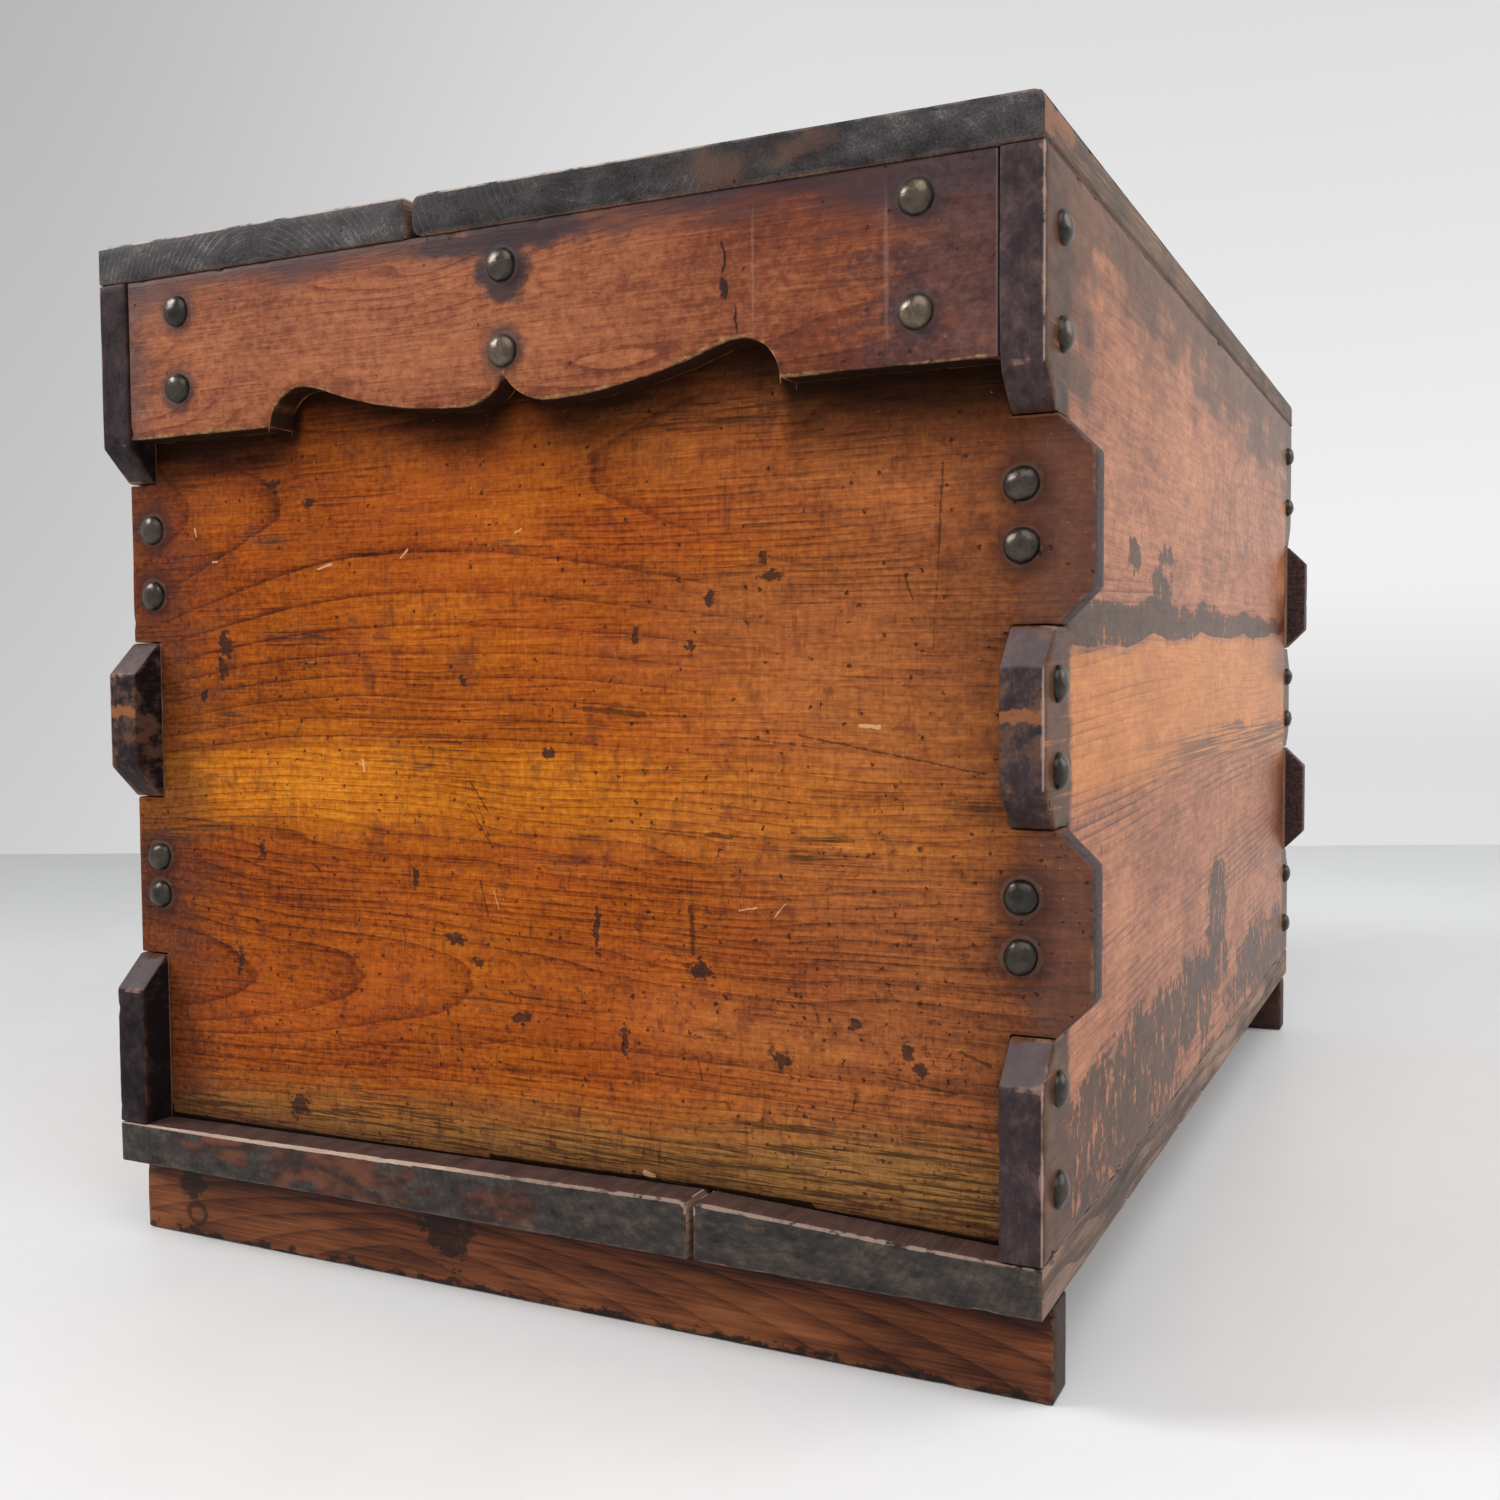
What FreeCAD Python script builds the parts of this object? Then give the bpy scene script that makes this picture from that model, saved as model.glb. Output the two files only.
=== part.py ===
import FreeCAD, Part

import math
import os

import Sketcher
from FreeCAD import Placement, Rotation, Vector

# A nailed wooden storage chest on two feet, with a lift-off front lid plank.  Its long side boards and end
# panels cross at the corners in square fingers that stand proud of each other's faces.
#
# Frame, in millimetres: X along the chest, front board towards -Y, Z up.  The origin is on the floor, below
# the middle of the box that bounds the chest.

# Name, size and meaning of every size that is set by itself.
SIZES = [
    ("chest_length", 909.0, "over the finger tips at the two ends"),
    ("chest_depth", 576.0, "over the outer faces of the front and rear boards"),
    ("foot_height", 47.4, "foot boards, standing on edge"),
    ("foot_thickness", 24.5, "foot boards"),
    ("foot_setback", 20.0, "feet behind the finger tips"),
    ("bottom_edge_thickness", 24.8, "bottom planks below the side boards"),
    ("bottom_crown", 5.8, "rise of the bottom planks towards their seam"),
    ("front_bottom_width", 180.0, "narrow bottom plank"),
    ("bottom_seam_gap", 3.0, "shrinkage gap between the bottom planks"),
    ("side_height", 505.3, "front and rear boards"),
    ("side_thickness", 21.5, "front and rear boards"),
    ("finger_reach", 20.3, "fingers proud of the end panels"),
    ("finger_chamfer", 19.4, "corners cut from the fingers"),
    ("low_finger", 101.4, "height of the lowest finger"),
    ("low_gap", 97.2, "height of the lower gap between fingers"),
    ("middle_finger", 94.2, "height of the middle finger"),
    ("high_gap", 96.5, "height of the upper gap between fingers"),
    ("panel_thickness", 19.7, "end panels"),
    ("tab_reach", 17.5, "end panel tabs proud of the front board"),
    ("tab_chamfer", 17.0, "corners cut from the tabs"),
    ("joint_clearance", 0.2, "above and below each tab in its gap"),
    ("apron_height", 92.8, "apron boards at their ends"),
    ("apron_thickness", 18.8, "apron boards"),
    ("apron_side_clearance", 0.5, "between an apron and the fingers beside it"),
    ("apron_cut_half", 158.0, "from the middle of the apron to the end of its shaped edge"),
    ("apron_rise", 20.8, "height and radius of the step at each end of the shaped edge"),
    ("apron_crest_radius", 38.0, "bend at the top of the shaped edge"),
    ("apron_trough_offset", 26.0, "from the middle of the apron to its lowest bend"),
    ("apron_trough_height", 0.7, "lowest bend above the straight edge"),
    ("apron_cusp_height", 15.6, "middle point above the straight edge"),
    ("top_thickness", 22.5, "lid plank and rear top plank"),
    ("lid_width", 344.5, "lid plank"),
    ("lid_seam_gap", 4.5, "between the lid and the rear top plank"),
    ("lid_seam_rounding", 6.5, "worn long edges of the lid at the seam"),
    ("lid_front_rounding", 6.0, "worn upper front edge of the lid"),
    ("lid_lower_rounding", 2.5, "lower front edge of the lid"),
    ("batten_width", 36.0, "lid battens"),
    ("batten_height", 18.0, "lid battens"),
    ("batten_chamfer", 4.0, "lower edges of the lid battens"),
    ("batten_clearance", 3.0, "between the battens and the walls beside them"),
    ("batten_seam_setback", 12.0, "battens short of the lid's rear edge"),
    ("dome_diameter", 17.5, "domed nail heads"),
    ("dome_height", 6.0, "domed nail heads"),
    ("dome_nail_length", 34.0, "domed nails below the head"),
    ("shank_width", 4.2, "square nail shanks below the head"),
    ("shank_tip", 1.6, "square nail shanks at the tip"),
    ("flat_head_width", 8.0, "flat square nail heads"),
    ("flat_head_thickness", 1.6, "flat square nail heads"),
    ("plank_nail_length", 45.0, "nails of the top and bottom planks"),
    ("foot_nail_length", 60.0, "nails through the feet"),
    ("batten_nail_length", 34.0, "nails through the lid battens"),
    ("apron_nail_inset", 60.7, "outer apron nails from the faces of the long sides"),
    ("apron_nail_high", 21.0, "upper apron nails below the apron's top"),
    ("apron_nail_low", 65.2, "lower apron nails below the apron's top"),
    ("front_apron_nail_spread", 3.8, "front apron nails further up and down than the others"),
    ("front_tab_nail_inset", 16.3, "tab nails from the front face"),
    ("front_tab_nail_spacing", 28.0, "between the two nails of a front tab"),
    ("front_tab_nail_lift", 2.5, "front tab nails above the middle of their tab"),
    ("rear_tab_nail_inset", 18.0, "tab nails from the rear face"),
    ("rear_high_tab_nail_spacing", 40.0, "between the two nails of an upper rear tab"),
    ("rear_low_tab_nail_spacing", 23.0, "between the two nails of a lower rear tab"),
    ("low_finger_nail_inset", 27.2, "nails of the low fingers from the finger tips"),
    ("middle_finger_nail_inset", 24.0, "nails of the middle fingers from the finger tips"),
    ("top_finger_nail_inset", 30.3, "nails of the top fingers from the finger tips"),
    ("outer_finger_nail_spacing", 48.0, "between the two nails of a low or top finger"),
    ("outer_finger_nail_lift", 2.5, "nails of the low and top fingers above the middle of the finger"),
    ("middle_finger_nail_spacing", 40.0, "between the two nails of a middle finger"),
    ("row_nail_inset", 90.0, "first nail of a row along a side board from the finger tips"),
    ("rear_plank_nail_setback", 45.0, "first end nail of the rear top plank behind its front edge"),
    ("rear_plank_nail_pitch", 85.0, "between the end nails of the rear top plank"),
    ("bottom_nail_margin", 67.0, "end nails of the bottom planks from the bottom seam"),
    ("rear_bottom_nail_pitch", 190.0, "between the end nails of the rear bottom plank"),
    ("foot_nail_inset", 60.0, "first and last foot nails from the ends of the foot"),
    ("foot_nail_seam_margin", 30.0, "foot nails on either side of the bottom seam"),
    ("batten_nail_inset", 30.0, "first and last batten nails from the batten's ends"),
]

# Places and sizes that follow from the sizes above, each a formula on the two sheets.
PLACES = [
    ("left_tip", "-Sizes.chest_length / 2"),
    ("left_panel_face", "left_tip + Sizes.finger_reach"),
    ("left_panel_inner", "left_panel_face + Sizes.panel_thickness"),
    ("front_face", "(Sizes.tab_reach - Sizes.chest_depth - Sizes.dome_height) / 2"),
    ("front_inner", "front_face + Sizes.side_thickness"),
    ("rear_face", "front_face + Sizes.chest_depth"),
    ("rear_inner", "rear_face - Sizes.side_thickness"),
    ("board_bottom", "Sizes.foot_height + Sizes.bottom_edge_thickness"),
    ("board_top", "board_bottom + Sizes.side_height"),
    ("top_face", "board_top + Sizes.top_thickness"),
    ("finger_depth", "Sizes.finger_reach + Sizes.panel_thickness"),
    ("middle_bottom", "Sizes.low_finger + Sizes.low_gap"),
    ("middle_top", "middle_bottom + Sizes.middle_finger"),
    ("top_bottom", "middle_top + Sizes.high_gap"),
    ("rear_bottom_width", "Sizes.chest_depth - Sizes.front_bottom_width - Sizes.bottom_seam_gap"),
    ("apron_half", "Sizes.chest_depth / 2 - Sizes.side_thickness - Sizes.apron_side_clearance"),
    ("apron_crest_offset", "Sizes.apron_cut_half - Sizes.apron_rise"),
    ("ogee_run", "apron_crest_offset - Sizes.apron_trough_offset"),
    ("ogee_drop", "Sizes.apron_rise - Sizes.apron_trough_height"),
    ("ogee_radii", "(ogee_run ^ 2 + ogee_drop ^ 2) / (2 * ogee_drop)"),
    ("trough_radius", "ogee_radii - Sizes.apron_crest_radius"),
    ("bend_offset", "apron_crest_offset - ogee_run * Sizes.apron_crest_radius / ogee_radii"),
    ("bend_height", "Sizes.apron_rise - ogee_drop * Sizes.apron_crest_radius / ogee_radii"),
    ("cusp_climb", "Sizes.apron_cusp_height - Sizes.apron_trough_height"),
    ("cusp_radius", "(Sizes.apron_trough_offset ^ 2 + cusp_climb ^ 2) / (2 * cusp_climb)"),
    ("rear_plank_front", "front_face + Sizes.lid_width + Sizes.lid_seam_gap"),
    ("batten_length", "Sizes.lid_width - Sizes.side_thickness - Sizes.batten_clearance"
                      " - Sizes.batten_seam_setback"),
    ("batten_left", "left_panel_inner + Sizes.batten_clearance"),
    ("batten_front", "front_inner + Sizes.batten_clearance"),
    ("dome_radius", "(Sizes.dome_diameter ^ 2 / 4 + Sizes.dome_height ^ 2) / (2 * Sizes.dome_height)"),
    ("bottom_seam", "front_face + Sizes.front_bottom_width"),
]

# Nails in a row along each side board, and nails through each lid batten.
ROW_NAILS = 5
BATTEN_NAILS = 4

# The tabs of the end panels and the gaps between fingers that they fill: lower and upper ends.
TAB_SPANS = [
    ("Sizes.low_finger", "Places.middle_bottom"),
    ("Places.middle_top", "Places.top_bottom"),
]

UP = Vector(0, 0, 1)
DOWN = Vector(0, 0, -1)
LEFT = Vector(-1, 0, 0)
RIGHT = Vector(1, 0, 0)
FRONT = Vector(0, -1, 0)
REAR = Vector(0, 1, 0)

doc = FreeCAD.newDocument("storage_chest")


# ---------------------------------------------------------------- sheets, sketches and placing

def add_sheet(name, rows):
    """Sheet with a name, a value or formula, and a note in each row."""
    sheet = doc.addObject("Spreadsheet::Sheet", name)
    for row, (alias, content, note) in enumerate(rows, start=1):
        sheet.set(f"A{row}", alias)
        sheet.set(f"B{row}", content)
        sheet.set(f"C{row}", note)
        sheet.setAlias(f"B{row}", alias)
    doc.recompute()
    return sheet


def number(expression):
    """Value of an expression on the sheets."""
    result = sizes.evalExpression(expression)
    return float(getattr(result, "Value", result))


def place(item, x, y, z):
    """Tie the place of an item to three expressions."""
    for axis, expression in zip("xyz", (x, y, z)):
        item.setExpression(f"Placement.Base.{axis}", expression)


def mirrored(x):
    """Expression of the same place on the other side of the middle."""
    return f"-({x})"


def arc_between(start, end, radius, side):
    """Short arc from start to end that turns left (side 1) or right (side -1)."""
    chord = end - start
    across = Vector(-chord.y, chord.x, 0).normalize()
    centre_distance = math.sqrt(max(radius ** 2 - (chord.Length / 2) ** 2, 0.0))
    centre = (start + end) * 0.5 + across * (side * centre_distance)
    first, last = (start, end) if side > 0 else (end, start)
    angles = [math.atan2(point.y - centre.y, point.x - centre.x) for point in (first, last)]
    if angles[1] < angles[0]:
        angles[1] += 2 * math.pi
    return Part.ArcOfCircle(Part.Circle(centre, UP, radius), *angles)


def tie_point(sketch, edge, end, x, y):
    """Tie one end of an edge to expressions for its place in the sketch."""
    origin = (-1, 1)
    axes = {"DistanceX": (x, -2), "DistanceY": (y, -1)}
    for kind, (expression, axis_line) in axes.items():
        if expression == "0":
            sketch.addConstraint(Sketcher.Constraint("PointOnObject", edge, end, axis_line))
            continue
        value = number(expression)
        index = sketch.addConstraint(Sketcher.Constraint(kind, *origin, edge, end, value))
        sketch.setExpression(f"Constraints[{index}]", expression)


def add_outline(body, plane_role, corners):
    """Closed outline through corners (x, y) on an origin plane of the body.

    A corner (x, y, radius, side) starts an arc that turns left (side 1) or right (side -1).
    """
    sketch = body.newObject("Sketcher::SketchObject", f"{body.Name}_outline")
    planes = [item for item in body.Origin.OriginFeatures if item.Role == plane_role]
    sketch.AttachmentSupport = [(planes[0], "")]
    sketch.MapMode = "FlatFace"
    points = [Vector(number(corner[0]), number(corner[1]), 0) for corner in corners]
    starts, ends = [], []
    for edge, corner in enumerate(corners):
        start, end = points[edge], points[(edge + 1) % len(points)]
        turns_right = False
        if len(corner) == 2:
            sketch.addGeometry(Part.LineSegment(start, end), False)
        else:
            sketch.addGeometry(arc_between(start, end, number(corner[2]), corner[3]), False)
            turns_right = corner[3] < 0
        starts.append((edge, 2 if turns_right else 1))
        ends.append((edge, 1 if turns_right else 2))
    for edge in range(len(corners)):
        following = (edge + 1) % len(corners)
        sketch.addConstraint(Sketcher.Constraint("Coincident", *ends[edge], *starts[following]))
    for edge, corner in enumerate(corners):
        tie_point(sketch, *starts[edge], corner[0], corner[1])
        if len(corner) > 2:
            index = sketch.addConstraint(Sketcher.Constraint("Radius", edge, number(corner[2])))
            sketch.setExpression(f"Constraints[{index}]", corner[2])
    return sketch


def add_pad(body, sketch, length, backwards=False):
    """Pad of a sketch, along the sketch's normal or against it."""
    pad = body.newObject("PartDesign::Pad", f"{sketch.Name}_pad")
    pad.Profile = sketch
    pad.Reversed = backwards
    pad.setExpression("Length", length)
    sketch.Visibility = False
    return pad


def board(label, plane_role, corners, thickness, where):
    """Board with an outline on the XZ or YZ plane and a thickness towards +Y or +X, set at its place."""
    body = doc.addObject("PartDesign::Body", label)
    sketch = add_outline(body, plane_role, corners)
    add_pad(body, sketch, thickness, backwards=plane_role == "XZ_Plane")
    place(body, *where)
    return body


def block(label, length, width, height, where):
    """Plain squared timber."""
    timber = doc.addObject("Part::Box", label)
    timber.setExpression("Length", length)
    timber.setExpression("Width", width)
    timber.setExpression("Height", height)
    place(timber, *where)
    return timber


def with_holes(label, blank, nail_groups):
    """The blank with the square holes that its nails fill."""
    nails = doc.addObject("Part::Compound", f"{label}_holes")
    nails.Links = nail_groups
    drilled = doc.addObject("Part::Cut", label)
    drilled.Base = blank
    drilled.Tool = nails
    drilled.Refine = True
    return drilled


# ---------------------------------------------------------------- nails

def add_shank(body, width, top, length):
    """Square tapered shank that points down from the height top."""
    shank = body.newObject("PartDesign::AdditiveWedge", f"{body.Name}_shank")
    shank.Placement = Placement(Vector(), Rotation(Vector(1, 0, 0), -90))
    shank.setExpression("Placement.Base.z", top)
    shank.setExpression("Ymax", length)
    shank.Ymin = 0
    for low, high, size in (("Xmin", "Xmax", width), ("Zmin", "Zmax", width),
                            ("X2min", "X2max", "Sizes.shank_tip"), ("Z2min", "Z2max", "Sizes.shank_tip")):
        shank.setExpression(low, f"-{size} / 2")
        shank.setExpression(high, f"{size} / 2")


def dome_nail():
    """Hand-made nail with a domed head, its seat at z 0."""
    body = doc.addObject("PartDesign::Body", "dome_nail")
    rim = "Sizes.dome_diameter / 2"
    profile = add_outline(body, "XZ_Plane", [("0", "0"), (rim, "0", "Places.dome_radius", 1),
                                             ("0", "Sizes.dome_height")])
    head = body.newObject("PartDesign::Revolution", "dome_nail_head")
    head.Profile = profile
    head.ReferenceAxis = (profile, ["V_Axis"])
    head.Angle = 360
    doc.recompute()
    add_shank(body, "Sizes.shank_width", "0", "Sizes.dome_nail_length")
    return body


def flat_nail(label, length):
    """Cut nail with a flat square head that is driven flush, its top at z 0."""
    body = doc.addObject("PartDesign::Body", label)
    half = "Sizes.flat_head_width / 2"
    minus = f"-{half}"
    head = add_outline(body, "XY_Plane", [(minus, minus), (half, minus), (half, half), (minus, half)])
    add_pad(body, head, "Sizes.flat_head_thickness", backwards=True)
    doc.recompute()
    add_shank(body, "Sizes.shank_width", "-Sizes.flat_head_thickness",
              f"{length} - Sizes.flat_head_thickness")
    return body


def nail_group(label, nail, outward, seats):
    """Like nails with their heads towards one side, one at each seat."""
    links = []
    for count, seat in enumerate(seats, start=1):
        link = doc.addObject("App::Link", f"{label}_{count}")
        link.LinkedObject = nail
        link.Placement = Placement(Vector(), Rotation(UP, outward))
        place(link, *seat)
        links.append(link)
    group = doc.addObject("Part::Compound", label)
    group.Links = links
    return group


def spread(first, last, count):
    """Expressions of places at equal steps from first to last."""
    return [f"{first} + ({last} - ({first})) * {step} / {count - 1}" for step in range(count)]


def pair(middle, spacing):
    """Expressions of two places on either side of a middle."""
    return [f"{middle} + {spacing} / 2", f"{middle} - {spacing} / 2"]


def finger_nail_places():
    """Inset from the finger tips and height of each nail through the fingers at one corner."""
    lift = "Sizes.outer_finger_nail_lift"
    low = f"Places.board_bottom + Sizes.low_finger / 2 + {lift}"
    middle = "Places.board_bottom + (Places.middle_bottom + Places.middle_top) / 2"
    top = f"Places.board_bottom + (Places.top_bottom + Sizes.side_height) / 2 + {lift}"
    fingers = [
        ("Sizes.low_finger_nail_inset", low, "Sizes.outer_finger_nail_spacing"),
        ("Sizes.middle_finger_nail_inset", middle, "Sizes.middle_finger_nail_spacing"),
        ("Sizes.top_finger_nail_inset", top, "Sizes.outer_finger_nail_spacing"),
    ]
    return [(inset, height) for inset, centre, spacing in fingers for height in pair(centre, spacing)]


def finger_nails(label, face, outward):
    """Nails through the fingers of a side board into the edges of both end panels."""
    seats = []
    for inset, height in finger_nail_places():
        left = f"Places.left_tip + {inset}"
        seats += [(left, face, height), (mirrored(left), face, height)]
    return nail_group(label, dome, outward, seats)


def tab_nails(label, face, outward):
    """Nails through the tabs of an end panel into the ends of the side boards."""
    middles = [f"Places.board_bottom + ({low} + {high}) / 2" for low, high in TAB_SPANS]
    rear_spacings = ["Sizes.rear_low_tab_nail_spacing", "Sizes.rear_high_tab_nail_spacing"]
    seats = []
    for middle, rear_spacing in zip(middles, rear_spacings):
        for height in pair(f"{middle} + Sizes.front_tab_nail_lift", "Sizes.front_tab_nail_spacing"):
            seats.append((face, "Places.front_face + Sizes.front_tab_nail_inset", height))
        for height in pair(middle, rear_spacing):
            seats.append((face, "Places.rear_face - Sizes.rear_tab_nail_inset", height))
    return nail_group(label, dome, outward, seats)


def apron_nails(label, face, outward):
    """Nails through an apron into its end panel: two rows of three, wider apart at the front."""
    columns = spread("Places.front_face + Sizes.apron_nail_inset",
                     "Places.rear_face - Sizes.apron_nail_inset", 3)
    high, low = "Places.board_top - Sizes.apron_nail_high", "Places.board_top - Sizes.apron_nail_low"
    spread_apart = "Sizes.front_apron_nail_spread"
    seats = [(face, columns[0], f"{high} + {spread_apart}"), (face, columns[0], f"{low} - {spread_apart}")]
    seats += [(face, y, z) for y in columns[1:] for z in (high, low)]
    return nail_group(label, dome, outward, seats)


def row_places(y, z):
    """Seats of a row of nails along a side board."""
    first = "Places.left_tip + Sizes.row_nail_inset"
    return [(x, y, z) for x in spread(first, mirrored(first), ROW_NAILS)]


def end_places(ys, z):
    """Seats of nails over the middle of the thickness of both end panels."""
    panel_middle = "(Places.left_panel_face + Places.left_panel_inner) / 2"
    return [(x, y, z) for x in (panel_middle, mirrored(panel_middle)) for y in ys]


def rear_top_plank_nails():
    """Nails down through the rear top plank into the rear board and the end panels."""
    first = "Places.rear_plank_front + Sizes.rear_plank_nail_setback"
    end_ys = [first, f"{first} + Sizes.rear_plank_nail_pitch"]
    seats = row_places("Places.rear_face - Sizes.side_thickness / 2", "Places.top_face")
    return nail_group("rear_top_plank_nails", plank_nail, UP, seats + end_places(end_ys, "Places.top_face"))


def bottom_plank_nails():
    """Nails up through the bottom planks into the side boards and the end panels."""
    underside = "Sizes.foot_height"
    behind_seam = "Places.bottom_seam + Sizes.bottom_seam_gap + Sizes.bottom_nail_margin"
    end_ys = ["Places.bottom_seam - Sizes.bottom_nail_margin", behind_seam,
              f"{behind_seam} + Sizes.rear_bottom_nail_pitch"]
    seats = row_places("Places.front_face + Sizes.side_thickness / 2", underside)
    seats += row_places("Places.rear_face - Sizes.side_thickness / 2", underside)
    return nail_group("bottom_plank_nails", plank_nail, DOWN, seats + end_places(end_ys, underside))


def foot_nails(label, x):
    """Nails up through a foot into the bottom planks."""
    ys = [
        "Places.front_face + Sizes.foot_nail_inset",
        "Places.bottom_seam - Sizes.foot_nail_seam_margin",
        "Places.bottom_seam + Sizes.bottom_seam_gap + Sizes.foot_nail_seam_margin",
        "Places.rear_face - Sizes.foot_nail_inset",
    ]
    return nail_group(label, foot_nail, DOWN, [(x, y, "0") for y in ys])


def lid_batten_nails():
    """Nails up through both lid battens into the lid plank."""
    left = "Places.batten_left + Sizes.batten_width / 2"
    ys = spread("Places.batten_front + Sizes.batten_nail_inset",
                "Places.batten_front + Places.batten_length - Sizes.batten_nail_inset", BATTEN_NAILS)
    underside = "Places.board_top - Sizes.batten_height"
    seats = [(x, y, underside) for x in (left, mirrored(left)) for y in ys]
    return nail_group("lid_batten_nails", batten_nail, DOWN, seats)


# ---------------------------------------------------------------- boards

def finger_edge(across):
    """Corners of a side board's left end from the bottom up, with x turned into a place by across."""
    reach_in = across("Sizes.finger_chamfer")
    tip = across("0")
    root = across("Places.finger_depth")
    chamfer = "Sizes.finger_chamfer"
    return [
        (tip, "0"),
        (tip, f"Sizes.low_finger - {chamfer}"), (reach_in, "Sizes.low_finger"), (root, "Sizes.low_finger"),
        (root, "Places.middle_bottom"), (reach_in, "Places.middle_bottom"),
        (tip, f"Places.middle_bottom + {chamfer}"), (tip, f"Places.middle_top - {chamfer}"),
        (reach_in, "Places.middle_top"), (root, "Places.middle_top"),
        (root, "Places.top_bottom"), (reach_in, "Places.top_bottom"),
        (tip, f"Places.top_bottom + {chamfer}"),
        (tip, "Sizes.side_height"),
    ]


def side_board(label, y):
    """Long board with three fingers at each end."""
    left_end = finger_edge(lambda x: x)
    right_end = finger_edge(lambda x: "Sizes.chest_length" if x == "0" else f"Sizes.chest_length - {x}")
    return board(label, "XZ_Plane", right_end + left_end[::-1], "Sizes.side_thickness",
                 ("Places.left_tip", y, "Places.board_bottom"))


def end_panel(label, x):
    """End panel: tabs proud of the front board and flush with the rear board, foot shaped to the bottom."""
    tip = "0"
    chamfer = "Sizes.tab_chamfer"
    front = "Sizes.tab_reach + Sizes.side_thickness"
    rear = "Sizes.tab_reach + Sizes.chest_depth - Sizes.side_thickness"
    rear_tip = "Sizes.tab_reach + Sizes.chest_depth"
    seam = "Sizes.tab_reach + Sizes.front_bottom_width"
    corners = [(front, "0"), (seam, "Sizes.bottom_crown"),
               (f"{seam} + Sizes.bottom_seam_gap", "Sizes.bottom_crown"), (rear, "0")]
    for low, high in TAB_SPANS:
        bottom, top = f"{low} + Sizes.joint_clearance", f"{high} - Sizes.joint_clearance"
        corners += [(rear, bottom), (rear_tip, bottom), (rear_tip, top), (rear, top)]
    corners += [(rear, "Sizes.side_height"), (front, "Sizes.side_height")]
    for low, high in reversed(TAB_SPANS):
        bottom, top = f"{low} + Sizes.joint_clearance", f"{high} - Sizes.joint_clearance"
        corners += [(front, top), (chamfer, top), (tip, f"{top} - {chamfer}"),
                    (tip, f"{bottom} + {chamfer}"), (chamfer, bottom), (front, bottom)]
    return board(label, "YZ_Plane", corners, "Sizes.panel_thickness",
                 (x, "Places.front_face - Sizes.tab_reach", "Places.board_bottom"))


def apron(label, x):
    """Apron board over the top of an end panel, its lower edge cut to two waves that meet in a point."""
    steps = [
        ("Sizes.apron_cut_half", "0", "Sizes.apron_rise", -1),
        ("Places.apron_crest_offset", "Sizes.apron_rise", "Sizes.apron_crest_radius", -1),
        ("Places.bend_offset", "Places.bend_height", "Places.trough_radius", 1),
        ("Sizes.apron_trough_offset", "Sizes.apron_trough_height", "Places.cusp_radius", 1),
    ]
    middle = "Places.apron_half"
    corners = [("0", "0")]
    corners += [(f"{middle} - {offset}", height, radius, side) for offset, height, radius, side in steps]
    corners.append((middle, "Sizes.apron_cusp_height", *steps[-1][2:]))
    for step, bend in zip(reversed(steps), list(reversed(steps[:-1])) + [None]):
        corner = (f"{middle} + {step[0]}", step[1])
        corners.append(corner if bend is None else (*corner, *bend[2:]))
    corners += [(f"2 * {middle}", "0"), (f"2 * {middle}", "Sizes.apron_height"), ("0", "Sizes.apron_height")]
    return board(label, "YZ_Plane", corners, "Sizes.apron_thickness",
                 (x, "Places.front_inner + Sizes.apron_side_clearance", "Places.board_top - Sizes.apron_height"))


def bottom_plank(label, width, y, seam_at_rear):
    """Bottom plank, flat below its side board and thicker towards the seam."""
    edge = "Sizes.bottom_edge_thickness"
    seam = f"{edge} + Sizes.bottom_crown"
    step = "Sizes.side_thickness"
    if seam_at_rear:
        corners = [("0", "0"), (width, "0"), (width, seam), (step, edge), ("0", edge)]
    else:
        corners = [("0", "0"), (width, "0"), (width, edge), (f"{width} - {step}", edge), ("0", seam)]
    return board(label, "YZ_Plane", corners, "Sizes.chest_length", ("Places.left_tip", y, "Sizes.foot_height"))


def long_edges(shape, y, z):
    """Names of the edges that run along X at the given place in the section."""
    names = []
    for count, edge in enumerate(shape.Edges, start=1):
        points = [vertex.Point for vertex in edge.Vertexes]
        if all(math.hypot(point.y - y, point.z - z) < 1e-6 for point in points):
            names.append(f"Edge{count}")
    return names


def lid_plank():
    """Lift-off lid plank with worn, rounded long edges."""
    width, thickness = "Sizes.lid_width", "Sizes.top_thickness"
    lid = board("lid_plank_blank", "YZ_Plane", [("0", "0"), (width, "0"), (width, thickness), ("0", thickness)],
                "Sizes.chest_length", ("Places.left_tip", "Places.front_face", "Places.board_top"))
    roundings = [
        ("seam", "Sizes.lid_seam_rounding", [(width, "0"), (width, thickness)]),
        ("front", "Sizes.lid_front_rounding", [("0", thickness)]),
        ("lower", "Sizes.lid_lower_rounding", [("0", "0")]),
    ]
    for name, radius, spots in roundings:
        doc.recompute()
        before = lid.Tip
        rounding = lid.newObject("PartDesign::Fillet", f"lid_{name}_rounding")
        names = [edge for y, z in spots for edge in long_edges(before.Shape, number(y), number(z))]
        rounding.Base = (before, names)
        rounding.setExpression("Radius", radius)
    return lid


def lid_batten(label, x):
    """Batten across the underside of the lid, with eased lower edges."""
    width, height, chamfer = "Sizes.batten_width", "Sizes.batten_height", "Sizes.batten_chamfer"
    corners = [(chamfer, "0"), (f"{width} - {chamfer}", "0"), (width, chamfer), (width, height),
               ("0", height), ("0", chamfer)]
    return board(label, "XZ_Plane", corners, "Places.batten_length",
                 (x, "Places.batten_front", f"Places.board_top - {height}"))


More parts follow.
